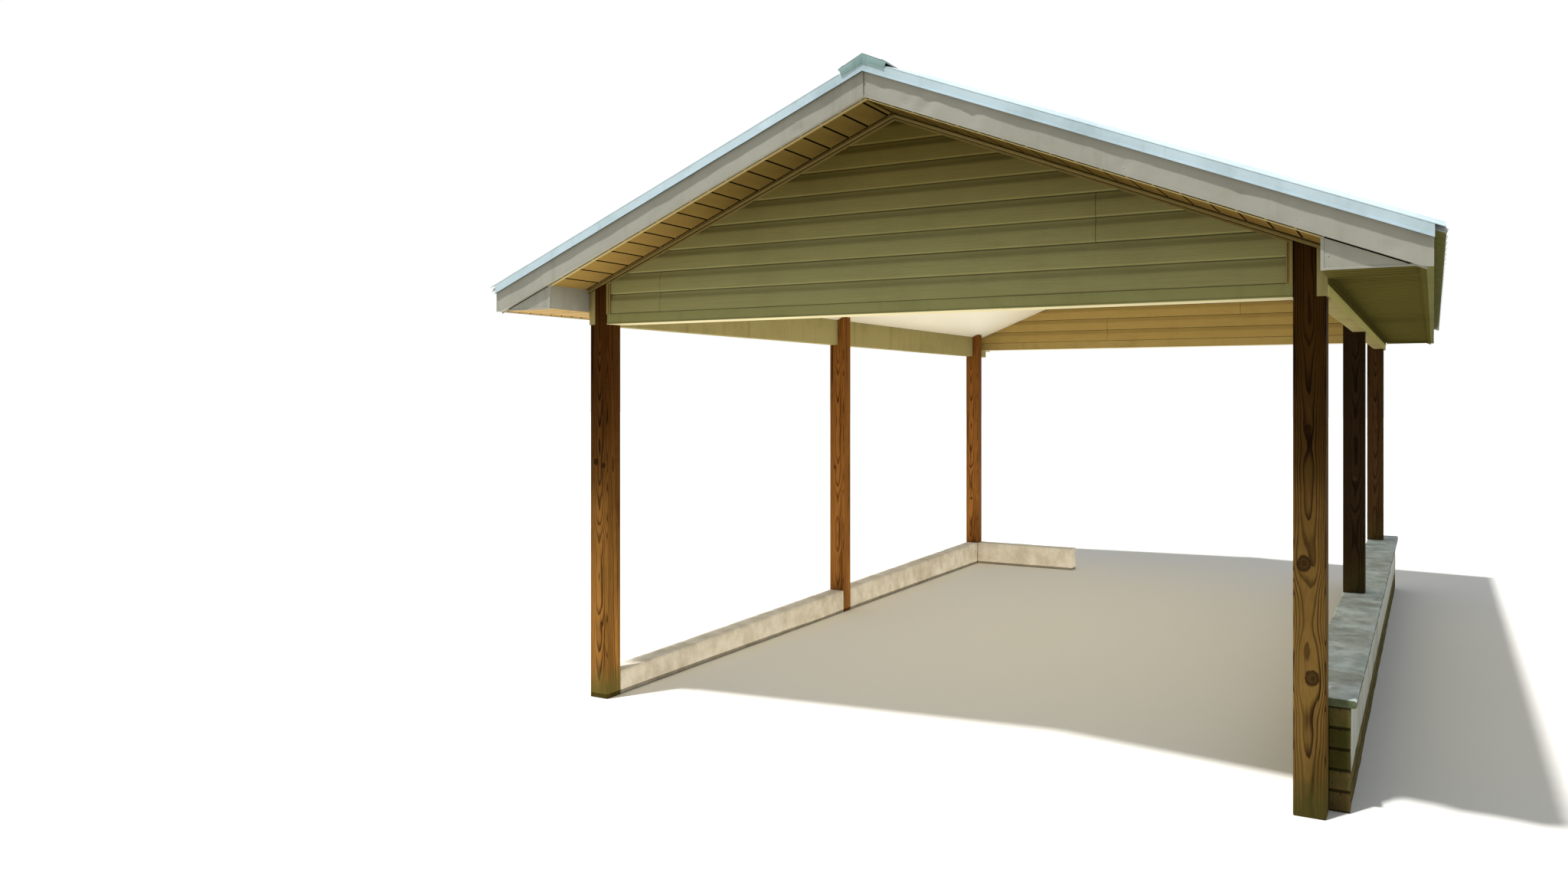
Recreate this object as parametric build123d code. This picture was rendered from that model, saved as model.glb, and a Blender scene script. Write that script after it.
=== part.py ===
from build123d import *
from math import cos, radians, tan
import os

# Gable carport: six notched posts, two wrapped side beams, a vaulted ceiling
# under a ribbed metal roof, sided gable ends with boxed eave returns, a low
# timber wall with a concrete cap on the right and concrete curbs on the left
# and at the back. X runs across, Y runs from front to back, Z is up.

# Plan
POST = 140.0
POST_EASE = 6.0
BAY_WIDTH = 4026.0
FRONT_BAY = 3230.0
BACK_BAY = 3317.0
REAR_REVEAL = 313.0
RAKE_OVERHANG = 403.0
EAVE_OVERHANG = 427.0
METAL_OVERHANG = 47.0

# Heights
BEAM_BOTTOM = 2404.0
BEAM_HEIGHT = 240.0
ROOF_ANGLE = 22.05
RAFTER_SEAT = 52.0
RAFTER_DEPTH = 165.0
CEILING_DEPTH = 33.0
EAVE_REVEAL = 77.0
FASCIA_LIP = 6.0

# Beams, headers and gable walls
BEAM_PROUD = 7.0
FULL_NOTCH = 79.0
FRONT_NOTCH = 40.0
HEADER_PROUD = 3.0
HEADER_HEM = 4.5
HEADER_HEM_HEIGHT = 6.0
FRONT_HEADER_HEIGHT = 64.0
BACK_HEADER_HEIGHT = 80.0
LAP_EXPOSURE = 127.0
LAP_FLAT = 84.0
LAP_RECESS = 12.0
LAP_LIP_RISE = 7.5
LAP_LIP_DEPTH = 6.0

# Channels round the gable walls
CHANNEL_BACK = 3.0
CHANNEL_DROP = 36.0
CHANNEL_LOWER_TOP = 20.5
CHANNEL_LOWER_PROUD = 10.0
CHANNEL_UPPER_FOOT = 16.5
CHANNEL_UPPER_TOP = 7.0
CHANNEL_UPPER_PROUD = 16.0
SIDE_CHANNEL_WIDTH = 28.0
SIDE_CHANNEL_RIM = 6.0

# Roof
BOARD = 23.0
FASCIA_HEM = 2.0
FASCIA_HEM_HEIGHT = 8.0
SOFFIT_DROP = 13.0
EAVE_SOFFIT_THICK = 12.0
RAKE_GROOVE_PITCH = 152.0
RAKE_GROOVE_DEPTH = 8.0
EAVE_GROOVE_PITCH = 101.6
EAVE_GROOVE_DEPTH = 4.0
GROOVE_WIDTH = 9.0
GROOVE_TOP_WIDTH = 6.0
SOFFIT_GAP = 9.0
RAFTER_WIDTH = 38.0
RAFTER_COUNT = 13
SHEET = 3.0
RIB_HEIGHT = 20.2
RIB_TOP_WIDTH = 24.0
RIB_BASE_WIDTH = 46.0
RIB_SPACINGS = 35
RIB_EDGE = 30.0
RIDGE_GAP = 5.0
TRIM_DROP = 26.0
TRIM_THICK = 3.0
TRIM_PROUD = 13.0
TRIM_KICK = 5.0
TRIM_KICK_DROP = 4.0
TRIM_FLANGE = 60.0
CAP_HALF_WIDTH = 138.0
CAP_ANGLE = 25.0
CAP_RISE = 34.0
CAP_SHEET = 4.0
CAP_FACE = 50.0
CAP_HEM = 8.0
CLOSURE_INSET = 12.0
CLOSURE_WIDTH = 22.0

# Ground level pieces
CURB_FRONT_HEIGHT = 154.0
CURB_BACK_HEIGHT = 235.0
BACK_CURB_LENGTH = 1106.0
COURSE_HEIGHT = 98.0
COURSE_COUNT = 5
TIMBER_EASE = 5.0
CAST_EASE = 8.0
TIMBER_WIDTH = 89.0
OUTER_TIMBER_GAP = 1.0
INNER_TIMBER_INSET = 17.0
WALL_START = 150.0
CAP_SLAB_THICK = 38.0
CAP_SLAB_WIDTH = 257.0
SLAB_JOINT = 3.0
SHEET_COURSES = 3
FACE_SHEET = 3.0
FACE_SHEET_INSET = 10.0

# Derived places
ROOF_PITCH = tan(radians(ROOF_ANGLE))
CAP_PITCH = tan(radians(CAP_ANGLE))
INNER_X = BAY_WIDTH / 2
OUTER_X = INNER_X + POST
BEAM_OUTER_X = OUTER_X + BEAM_PROUD
BEAM_INNER_X = OUTER_X - FULL_NOTCH
FASCIA_X = OUTER_X + EAVE_OVERHANG
METAL_X = FASCIA_X + METAL_OVERHANG
OUTER_TIMBER_X = OUTER_X + OUTER_TIMBER_GAP
INNER_TIMBER_X = INNER_X + INNER_TIMBER_INSET
GABLE_DISTANCE = 3 * POST + FRONT_BAY + BACK_BAY + REAR_REVEAL
Y_FRONT = -GABLE_DISTANCE / 2
Y_BACK = GABLE_DISTANCE / 2
Y_MID = Y_FRONT + POST + FRONT_BAY
Y_REAR_POST = Y_MID + POST + BACK_BAY
Y_RAKE = Y_FRONT - RAKE_OVERHANG
BEAM_TOP = BEAM_BOTTOM + BEAM_HEIGHT
EAVE_SOFFIT_Z = BEAM_BOTTOM + EAVE_REVEAL
FASCIA_BOTTOM = EAVE_SOFFIT_Z - FASCIA_LIP
SOFFIT_PEAK = BEAM_TOP + ROOF_PITCH * (BEAM_INNER_X + RAFTER_SEAT)
CEILING_PEAK = SOFFIT_PEAK - CEILING_DEPTH
METAL_PEAK = SOFFIT_PEAK + RAFTER_DEPTH
SOFFIT_TOP_PEAK = SOFFIT_PEAK + SOFFIT_DROP
RIB_PEAK = METAL_PEAK + (SHEET + RIB_HEIGHT) / cos(radians(ROOF_ANGLE))
TRIM_Y = Y_RAKE - TRIM_PROUD
CAP_Y = TRIM_Y - CAP_SHEET
WALL_TOP = COURSE_HEIGHT * COURSE_COUNT
CAP_TOP = WALL_TOP + CAP_SLAB_THICK


def slope_z(peak, x):
    """Height at x of a roof plane that passes the ridge at peak."""
    return peak - ROOF_PITCH * abs(x)


def slope_x(peak, z):
    """Distance from the ridge where a roof plane comes down to z."""
    return (peak - z) / ROOF_PITCH


def block(x0, x1, y0, y1, z0, z1):
    """Box between two corners."""
    return Pos(x0, y0, z0) * Box(x1 - x0, y1 - y0, z1 - z0, align=(Align.MIN,) * 3)


def prism_y(points, y0, y1):
    """Outline in X and Z run along Y from y0 to y1."""
    plane = Plane(origin=(0, y0, 0), x_dir=(1, 0, 0), z_dir=(0, -1, 0))
    face = plane * make_face(Polyline(*points, close=True))
    return extrude(face, amount=-(y1 - y0))


def prism_x(points, x0, x1):
    """Outline in Y and Z run along X from x0 to x1."""
    plane = Plane(origin=(x0, 0, 0), x_dir=(0, 1, 0), z_dir=(1, 0, 0))
    face = plane * make_face(Polyline(*points, close=True))
    return extrude(face, amount=x1 - x0)


def chevron(half_width, low_peak, high_peak, y0, y1):
    """Band that follows both roof slopes between two planes."""
    lower_end = slope_z(low_peak, half_width)
    upper_end = slope_z(high_peak, half_width)
    points = [
        (-half_width, lower_end),
        (0, low_peak),
        (half_width, lower_end),
        (half_width, upper_end),
        (0, high_peak),
        (-half_width, upper_end),
    ]
    return prism_y(points, y0, y1)


def eased(shape, axis, width):
    """Narrow flats on the long edges that run along an axis."""
    return chamfer(shape.edges().filter_by(axis), width)


def grooved_line(start, end, pitch, depth):
    """Distances along a soffit and the rise of its face, with a groove at each pitch."""
    points = [(start, 0)]
    place = start + pitch / 2
    while place < end - GROOVE_WIDTH:
        points.append((place - GROOVE_WIDTH / 2, 0))
        points.append((place - GROOVE_TOP_WIDTH / 2, depth))
        points.append((place + GROOVE_TOP_WIDTH / 2, depth))
        points.append((place + GROOVE_WIDTH / 2, 0))
        place += pitch
    points.append((end, 0))
    return points


def left_of(shape):
    """Twin of a right-hand piece on the left."""
    return mirror(shape, about=Plane.YZ)


def rear_of(shape):
    """Twin of a front piece at the back."""
    return mirror(shape, about=Plane.XZ)


def under_slope(shape, peak):
    """Keep what lies below both roof planes that meet at peak."""
    reach = METAL_X
    edge = slope_z(peak, reach)
    points = [(-reach, 0), (reach, 0), (reach, edge), (0, peak), (-reach, edge)]
    return shape & prism_y(points, Y_RAKE, -Y_RAKE)


# Posts
def front_post():
    """Right front post: a shallow notch holds the beam's outer ply."""
    shaft = eased(block(INNER_X, OUTER_X, Y_FRONT, Y_FRONT + POST, 0, SOFFIT_PEAK), Axis.Z, POST_EASE)
    notch_x = OUTER_X - FRONT_NOTCH
    notch = block(notch_x, BEAM_OUTER_X, Y_FRONT, Y_FRONT + POST, BEAM_BOTTOM, SOFFIT_PEAK)
    return under_slope(shaft - notch, SOFFIT_PEAK)


def inner_post(y, base):
    """Right middle or back post: a deep notch holds both plies of the beam."""
    shaft = eased(block(INNER_X, OUTER_X, y, y + POST, base, SOFFIT_PEAK), Axis.Z, POST_EASE)
    notch = block(BEAM_INNER_X, BEAM_OUTER_X, y, y + POST, BEAM_BOTTOM, SOFFIT_PEAK)
    return under_slope(shaft - notch, CEILING_PEAK)


# Beams and gable walls
def side_beam():
    """Right beam: full width behind the front post, its outer ply runs past it."""
    y_full = Y_FRONT + POST
    full = block(BEAM_INNER_X, BEAM_OUTER_X, y_full, Y_BACK, BEAM_BOTTOM, BEAM_TOP)
    nose = block(OUTER_X - FRONT_NOTCH, BEAM_OUTER_X, Y_FRONT, y_full, BEAM_BOTTOM, BEAM_TOP)
    return under_slope(full + nose, SOFFIT_PEAK)


def header(half_width, y0, z0, height):
    """Wrapped board along the bottom of a gable wall, with a hem along its foot."""
    front = y0 - HEADER_PROUD
    back = y0 + POST + HEADER_PROUD
    hem_z = z0 + HEADER_HEM_HEIGHT
    points = [
        (front - HEADER_HEM, z0),
        (back + HEADER_HEM, z0),
        (back + HEADER_HEM, hem_z),
        (back, hem_z + HEADER_HEM),
        (back, z0 + height),
        (front, z0 + height),
        (front, hem_z + HEADER_HEM),
        (front - HEADER_HEM, hem_z),
    ]
    return prism_x(points, -half_width, half_width)


def lap_profile(y0, y1, z0, z1):
    """Section of a wall with clapboards that have a sloped cove on both faces."""
    count = int((z1 - z0) / LAP_EXPOSURE) + 1
    front = []
    for i in range(count):
        z = z0 + i * LAP_EXPOSURE
        front.append((y0 + LAP_LIP_DEPTH, z))
        front.append((y0, z + LAP_LIP_RISE))
        front.append((y0, z + LAP_FLAT))
        front.append((y0 + LAP_RECESS, z + LAP_EXPOSURE))
    back = [(y0 + y1 - y, z) for y, z in reversed(front)]
    return front + back


def gable_wall(half_width, y0, z0):
    """Sided wall between the header and the roof."""
    wall = prism_x(lap_profile(y0, y0 + POST, z0, SOFFIT_PEAK), -half_width, half_width)
    return under_slope(wall, SOFFIT_PEAK)


def rake_channel(half_width, foot, top, proud):
    """Strip of a gable channel along both rakes, its edges measured down from the soffit."""
    y0 = Y_FRONT - proud
    return chevron(half_width, SOFFIT_PEAK - foot, SOFFIT_PEAK - top, y0, Y_FRONT)


def gable_trim(half_width, z0):
    """Channel round the front gable wall. Its upper strip runs on past the posts."""
    back = rake_channel(half_width, CHANNEL_DROP, 0, CHANNEL_BACK)
    lower = rake_channel(half_width, CHANNEL_DROP, CHANNEL_LOWER_TOP, CHANNEL_LOWER_PROUD)
    upper = rake_channel(BEAM_OUTER_X, CHANNEL_UPPER_FOOT, CHANNEL_UPPER_TOP, CHANNEL_UPPER_PROUD)
    leg_x = half_width - SIDE_CHANNEL_WIDTH
    leg = block(leg_x, half_width, Y_FRONT - CHANNEL_BACK, Y_FRONT, z0, SOFFIT_PEAK)
    for x in (leg_x, half_width - SIDE_CHANNEL_RIM):
        leg += block(x, x + SIDE_CHANNEL_RIM, Y_FRONT - CHANNEL_LOWER_PROUD, Y_FRONT, z0, SOFFIT_PEAK)
    legs = under_slope(leg + left_of(leg), SOFFIT_PEAK)
    return back + lower + upper + legs


# Ceiling and roof frame
def ceiling():
    """Right half of the vaulted ceiling."""
    points = [
        (0, CEILING_PEAK),
        (BEAM_INNER_X, slope_z(CEILING_PEAK, BEAM_INNER_X)),
        (BEAM_INNER_X, slope_z(SOFFIT_PEAK, BEAM_INNER_X)),
        (0, SOFFIT_PEAK),
    ]
    return prism_y(points, Y_FRONT + POST, Y_BACK - POST)


def rafters():
    """Right rafters, notched over the beam and cut level at the tails."""
    ridge_x = RAFTER_WIDTH / 2
    tail_x = FASCIA_X - BOARD
    tail_z = EAVE_SOFFIT_Z + EAVE_SOFFIT_THICK
    points = [
        (ridge_x, slope_z(METAL_PEAK, ridge_x)),
        (ridge_x, slope_z(SOFFIT_PEAK, ridge_x)),
        (slope_x(SOFFIT_PEAK, BEAM_TOP), BEAM_TOP),
        (BEAM_OUTER_X, slope_z(SOFFIT_PEAK, BEAM_OUTER_X)),
        (slope_x(SOFFIT_PEAK, tail_z), tail_z),
        (tail_x, tail_z),
        (tail_x, slope_z(METAL_PEAK, tail_x)),
    ]
    step = (GABLE_DISTANCE - RAFTER_WIDTH) / (RAFTER_COUNT - 1)
    pieces = []
    for i in range(RAFTER_COUNT):
        y = Y_FRONT + i * step
        pieces.append(prism_y(points, y, y + RAFTER_WIDTH))
    return Compound(children=pieces)


def ridge_board():
    """Board between the rafters at the ridge, from fascia to fascia."""
    half = RAFTER_WIDTH / 2
    y0 = Y_RAKE + BOARD
    return block(-half, half, y0, -y0, SOFFIT_TOP_PEAK, slope_z(METAL_PEAK, half))


# Metal roofing
def roof_panel():
    """Right roof sheet with ribs that run down the slope."""
    run = 1 / cos(radians(ROOF_ANGLE))
    down = (1 / run, 0, -ROOF_PITCH / run)
    plane = Plane(origin=(0, 0, METAL_PEAK), x_dir=(0, 1, 0), z_dir=down)
    pitch = -2 * (Y_RAKE + RIB_EDGE) / RIB_SPACINGS
    top = SHEET + RIB_HEIGHT
    points = [(Y_RAKE, 0), (Y_RAKE, SHEET)]
    for i in range(RIB_SPACINGS + 1):
        y = Y_RAKE + RIB_EDGE + i * pitch
        points.append((y - RIB_BASE_WIDTH / 2, SHEET))
        points.append((y - RIB_TOP_WIDTH / 2, top))
        points.append((y + RIB_TOP_WIDTH / 2, top))
        points.append((y + RIB_BASE_WIDTH / 2, SHEET))
    points.append((-Y_RAKE, SHEET))
    points.append((-Y_RAKE, 0))
    section = plane * make_face(Polyline(*points, close=True))
    panel = extrude(section, amount=METAL_X * run)
    return panel - block(-RIDGE_GAP, RIDGE_GAP, Y_RAKE, -Y_RAKE, SOFFIT_PEAK, RIB_PEAK + top)


def cap_z(peak, x):
    """Height at x of the ridge cap, which is bent steeper than the roof."""
    return peak - CAP_PITCH * abs(x)


def ridge_cap():
    """Bent cap over the ridge: hemmed edges, filler strips on the ribs, ends folded down."""
    outer = RIB_PEAK + CAP_RISE + CAP_SHEET
    inner = RIB_PEAK + CAP_RISE
    face_foot = outer - CAP_FACE
    edge = CAP_HALF_WIDTH
    hem = edge - CAP_SHEET
    right = [
        (hem, cap_z(inner, hem)),
        (hem, cap_z(inner, hem) - CAP_HEM),
        (edge, cap_z(inner, edge) - CAP_HEM),
        (edge, cap_z(outer, edge)),
    ]
    left = [(-x, z) for x, z in reversed(right)]
    sheet = prism_y([(0, inner), *right, (0, outer), *left], CAP_Y, -CAP_Y)
    strip_x = edge - CLOSURE_INSET
    strip = [
        (strip_x - CLOSURE_WIDTH, slope_z(RIB_PEAK, strip_x - CLOSURE_WIDTH)),
        (strip_x, slope_z(RIB_PEAK, strip_x)),
        (strip_x, cap_z(inner, strip_x)),
        (strip_x - CLOSURE_WIDTH, cap_z(inner, strip_x - CLOSURE_WIDTH)),
    ]
    closure = prism_y(strip, TRIM_Y, -TRIM_Y)
    slant = (cap_z(outer, edge) - slope_z(face_foot, edge)) * ROOF_PITCH
    corner = edge - slant
    fold = [
        (-corner, slope_z(face_foot, corner)),
        (0, face_foot),
        (corner, slope_z(face_foot, corner)),
        (edge, cap_z(outer, edge)),
        (0, outer),
        (-edge, cap_z(outer, edge)),
    ]
    front_fold = prism_y(fold, CAP_Y, TRIM_Y)
    return sheet + closure + left_of(closure) + front_fold + rear_of(front_fold)


def rake_trim():
    """Front edge flashing: face with a kicked foot, and a flange over the first rib."""
    half = FASCIA_X + TRIM_THICK
    foot = METAL_PEAK - TRIM_DROP
    face = chevron(half, foot, RIB_PEAK, TRIM_Y, TRIM_Y + TRIM_THICK)
    leg = chevron(half, foot, foot + TRIM_THICK, TRIM_Y, Y_RAKE)
    kick = chevron(half, foot - TRIM_KICK_DROP, foot + TRIM_THICK, TRIM_Y - TRIM_KICK, TRIM_Y + TRIM_THICK)
    flange = chevron(METAL_X, RIB_PEAK, RIB_PEAK + TRIM_THICK, TRIM_Y, Y_RAKE + TRIM_FLANGE)
    cap_x = CAP_HALF_WIDTH
    low = slope_z(RIB_PEAK, cap_x)
    under_cap = block(-cap_x, cap_x, TRIM_Y, Y_RAKE + TRIM_FLANGE, low, RIB_PEAK + CAP_RISE)
    return face + leg + kick + (flange - under_cap)


# Overhangs
def rake_fascia():
    """Right front fascia board with a hem, plumb at both ends and level at its tip."""
    low_peak = SOFFIT_PEAK - FASCIA_LIP
    lower_edge = [(0, low_peak), (slope_x(low_peak, FASCIA_BOTTOM), FASCIA_BOTTOM), (FASCIA_X, FASCIA_BOTTOM)]
    board = lower_edge + [(FASCIA_X, slope_z(METAL_PEAK, FASCIA_X)), (0, METAL_PEAK)]
    hem = lower_edge + [(x, z + FASCIA_HEM_HEIGHT) for x, z in reversed(lower_edge)]
    return prism_y(board, Y_RAKE, Y_RAKE + BOARD) + prism_y(hem, Y_RAKE - FASCIA_HEM, Y_RAKE)


def rake_soffit():
    """Right front soffit: grooves up the slope and a gap along the wall channel."""
    points = []
    for x, rise in grooved_line(0, BEAM_OUTER_X, RAKE_GROOVE_PITCH, RAKE_GROOVE_DEPTH):
        points.append((x, slope_z(SOFFIT_PEAK, x) + rise))
    points.append((BEAM_OUTER_X, slope_z(SOFFIT_TOP_PEAK, BEAM_OUTER_X)))
    points.append((0, SOFFIT_TOP_PEAK))
    panel = prism_y(points, Y_RAKE + BOARD, Y_FRONT)
    gap_end = Y_FRONT - CHANNEL_UPPER_PROUD
    gap_peak = SOFFIT_PEAK + RAKE_GROOVE_DEPTH
    return panel - chevron(METAL_X, SOFFIT_PEAK, gap_peak, gap_end - SOFFIT_GAP, gap_end)


def eave_return():
    """Right front boxed corner between the rake and the level eave."""
    inner_face = FASCIA_X - BOARD
    points = [
        (BEAM_OUTER_X, EAVE_SOFFIT_Z),
        (inner_face, EAVE_SOFFIT_Z),
        (inner_face, slope_z(SOFFIT_TOP_PEAK, inner_face)),
        (BEAM_OUTER_X, slope_z(SOFFIT_TOP_PEAK, BEAM_OUTER_X)),
    ]
    return prism_y(points, Y_RAKE + BOARD, Y_FRONT)


def eave_fascia():
    """Right fascia board along the eave, with a hem along its foot."""
    inner_face = FASCIA_X - BOARD
    hem_z = FASCIA_BOTTOM + FASCIA_HEM_HEIGHT
    points = [
        (inner_face, FASCIA_BOTTOM),
        (FASCIA_X + FASCIA_HEM, FASCIA_BOTTOM),
        (FASCIA_X + FASCIA_HEM, hem_z),
        (FASCIA_X, hem_z),
        (FASCIA_X, slope_z(METAL_PEAK, FASCIA_X)),
        (inner_face, slope_z(METAL_PEAK, inner_face)),
    ]
    return prism_y(points, Y_RAKE + BOARD, -Y_RAKE - BOARD)


def eave_soffit():
    """Right level soffit between the beam and the eave fascia, grooved across."""
    points = []
    for y, rise in grooved_line(Y_FRONT, Y_BACK, EAVE_GROOVE_PITCH, EAVE_GROOVE_DEPTH):
        points.append((y, EAVE_SOFFIT_Z + rise))
    points.append((Y_BACK, EAVE_SOFFIT_Z + EAVE_SOFFIT_THICK))
    points.append((Y_FRONT, EAVE_SOFFIT_Z + EAVE_SOFFIT_THICK))
    return prism_x(points, BEAM_OUTER_X, FASCIA_X - BOARD)


# Ground level
def left_curb(y0, y1):
    """Stretch of the left curb, its top climbs gently to the back."""
    run = Y_REAR_POST - Y_FRONT - POST
    rise = (CURB_BACK_HEIGHT - CURB_FRONT_HEIGHT) / run
    top0 = CURB_FRONT_HEIGHT + rise * (y0 - Y_FRONT - POST)
    top1 = CURB_FRONT_HEIGHT + rise * (y1 - Y_FRONT - POST)
    return prism_x([(y0, 0), (y1, 0), (y1, top1), (y0, top0)], -OUTER_X, -INNER_X)


def wall_course(index):
    """One course of the low wall: an outer and an inner timber."""
    z0 = index * COURSE_HEIGHT
    z1 = z0 + COURSE_HEIGHT
    y0 = Y_FRONT + WALL_START
    timbers = []
    for x0 in (OUTER_TIMBER_X, INNER_TIMBER_X):
        timber = block(x0, x0 + TIMBER_WIDTH, y0, Y_BACK, z0, z1)
        timbers.append(eased(timber, Axis.Y, TIMBER_EASE))
    return Compound(children=timbers)


def cap_slab(y0, y1):
    """Concrete slab on top of the low wall."""
    return eased(block(INNER_X, INNER_X + CAP_SLAB_WIDTH, y0, y1, WALL_TOP, CAP_TOP), Axis.Y, CAST_EASE)


def face_sheet():
    """Painted sheet over the outer side of the upper courses."""
    x0 = OUTER_TIMBER_X + TIMBER_WIDTH
    y0 = Y_FRONT + WALL_START + FACE_SHEET_INSET
    z0 = WALL_TOP - SHEET_COURSES * COURSE_HEIGHT
    return block(x0, x0 + FACE_SHEET, y0, Y_BACK - FACE_SHEET_INSET, z0, WALL_TOP)


nodes = {}

nodes["post_front_right"] = front_post()
nodes["post_front_left"] = left_of(front_post())
nodes["post_mid_right"] = inner_post(Y_MID, CAP_TOP)
nodes["post_mid_left"] = left_of(inner_post(Y_MID, 0))
nodes["post_back_right"] = inner_post(Y_REAR_POST, CAP_TOP)
nodes["post_back_left"] = left_of(inner_post(Y_REAR_POST, 0))

front_siding_z = BEAM_BOTTOM + FRONT_HEADER_HEIGHT
back_siding_z = EAVE_SOFFIT_Z + BACK_HEADER_HEIGHT
nodes["front_header"] = header(INNER_X, Y_FRONT, BEAM_BOTTOM, FRONT_HEADER_HEIGHT)
nodes["back_header"] = header(BEAM_INNER_X, Y_BACK - POST, EAVE_SOFFIT_Z, BACK_HEADER_HEIGHT)
nodes["front_gable_siding"] = gable_wall(INNER_X, Y_FRONT, front_siding_z)
nodes["back_gable_siding"] = gable_wall(BEAM_INNER_X, Y_BACK - POST, back_siding_z)
nodes["front_gable_trim"] = gable_trim(INNER_X, front_siding_z)
nodes["back_gable_trim"] = rear_of(gable_trim(BEAM_INNER_X, back_siding_z))

nodes["ridge_board"] = ridge_board()
nodes["ridge_cap"] = ridge_cap()
nodes["front_rake_trim"] = rake_trim()
nodes["back_rake_trim"] = rear_of(rake_trim())

right_pieces = {
    "side_beam": side_beam(),
    "ceiling": ceiling(),
    "rafters": rafters(),
    "roof_panel": roof_panel(),
    "eave_fascia": eave_fascia(),
    "eave_soffit": eave_soffit(),
}
for name, shape in right_pieces.items():
    nodes[name + "_right"] = shape
    nodes[name + "_left"] = left_of(shape)

corner_pieces = {
    "rake_fascia": rake_fascia(),
    "rake_soffit": rake_soffit(),
    "eave_return": eave_return(),
}
for name, shape in corner_pieces.items():
    nodes[name + "_front_right"] = shape
    nodes[name + "_front_left"] = left_of(shape)
    nodes[name + "_back_right"] = rear_of(shape)
    nodes[name + "_back_left"] = rear_of(left_of(shape))

nodes["left_curb_front"] = left_curb(Y_FRONT + POST, Y_MID)
nodes["left_curb_back"] = left_curb(Y_MID + POST, Y_REAR_POST)
curb_end = BACK_CURB_LENGTH - INNER_X
nodes["back_curb"] = block(-INNER_X, curb_end, Y_REAR_POST, Y_REAR_POST + POST, 0, CURB_BACK_HEIGHT)
for course in range(COURSE_COUNT):
    nodes["wall_course_" + str(course + 1)] = wall_course(course)
nodes["wall_cap_front"] = cap_slab(Y_FRONT + WALL_START, Y_MID - SLAB_JOINT)
nodes["wall_cap_back"] = cap_slab(Y_MID, Y_BACK)
nodes["wall_face_sheet"] = face_sheet()

os.makedirs("parts", exist_ok=True)
for name, shape in nodes.items():
    export_step(shape, "parts/" + name + ".step")
print(len(nodes), "nodes written")
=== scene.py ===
import bpy
import math
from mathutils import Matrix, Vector


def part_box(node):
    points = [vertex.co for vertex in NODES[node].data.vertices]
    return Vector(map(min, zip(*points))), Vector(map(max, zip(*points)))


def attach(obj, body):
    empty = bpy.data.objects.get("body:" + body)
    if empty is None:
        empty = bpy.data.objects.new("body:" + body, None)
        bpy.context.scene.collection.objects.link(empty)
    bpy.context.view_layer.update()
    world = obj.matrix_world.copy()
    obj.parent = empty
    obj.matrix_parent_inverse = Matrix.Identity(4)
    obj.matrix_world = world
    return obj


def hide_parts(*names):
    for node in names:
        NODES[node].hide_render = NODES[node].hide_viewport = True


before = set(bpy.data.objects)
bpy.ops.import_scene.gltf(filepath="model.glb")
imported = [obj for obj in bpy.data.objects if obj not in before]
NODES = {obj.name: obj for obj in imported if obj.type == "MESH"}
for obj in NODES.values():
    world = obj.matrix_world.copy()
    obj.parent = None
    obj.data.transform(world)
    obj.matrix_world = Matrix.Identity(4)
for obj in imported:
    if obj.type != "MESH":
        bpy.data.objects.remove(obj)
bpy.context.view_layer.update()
bpy.context.scene.view_settings.view_transform = "Standard"
SIDES = ("right", "left")
ENDS = ("front", "back")
SIGN = {"right": 1, "left": -1, "front": 1, "back": -1}
RIGHT, BACK, UP = (1, 0, 0), (0, 1, 0), (0, 0, 1)
LEFT, DOWN = (-1, 0, 0), (0, 0, -1)

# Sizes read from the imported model
POST_LOW, POST_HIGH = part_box("post_front_right")
POST = POST_HIGH.x - POST_LOW.x
Y_FRONT = POST_LOW.y
BEAM_LOW, BEAM_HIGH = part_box("side_beam_right")
FASCIA_LOW, FASCIA_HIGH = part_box("rake_fascia_front_right")
RETURN_LOW, RETURN_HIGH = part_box("eave_return_front_right")
HEADERS = {"front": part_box("front_header"), "back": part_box("back_header")}
CAP_LOW, CAP_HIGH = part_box("ridge_cap")
PANEL_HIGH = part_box("roof_panel_right")[1]

# Slopes
ROOF_ANGLE = math.radians(22.05)
SLOPE = math.tan(ROOF_ANGLE)
CAP_ANGLE = math.radians(25)
CAP_SLOPE = math.tan(CAP_ANGLE)
DOWN_SLOPE = (math.cos(ROOF_ANGLE), 0, -math.sin(ROOF_ANGLE))
SOFFIT_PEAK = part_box("rake_soffit_front_right")[0].z + SLOPE * BEAM_HIGH.x

# Boards of the overhangs
BOARD = 0.023
FASCIA_X = FASCIA_HIGH.x
Y_BOARD = FASCIA_HIGH.y
Y_RAKE = Y_BOARD - BOARD
FASCIA_RISE = 0.006
EAVE_LIFT = 0.007
EAVE_Z = RETURN_LOW.z + EAVE_LIFT
FASCIA_FOOT = FASCIA_LOW.z + EAVE_LIFT

# Roof sheet: its lap on the boards, its ribs and its length
METAL_PEAK = FASCIA_HIGH.z
SHEET = 0.003
RIB_HEIGHT = 0.0202
RIB_PEAK = METAL_PEAK + (SHEET + RIB_HEIGHT) / math.cos(ROOF_ANGLE)
FIRST_RIB = Y_RAKE + 0.030
RIB_GAPS = 35
RIB_PITCH = -2 * FIRST_RIB / RIB_GAPS
SHEET_END = PANEL_HIGH.x - 0.012

# Soffit grooves and channels
CHANNEL_PROUD = 0.016
SOFFIT_GAP = 0.009
GAP_SHADE = 0.022
RAKE_EDGE = 0.024
RAKE_GROOVES = 0.1195
RAKE_FIRST_GROOVE = 0.0285
EAVE_GROOVES = 0.1016
EAVE_CHANNEL = 0.028
EAVE_LEDGE = 0.030

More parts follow.
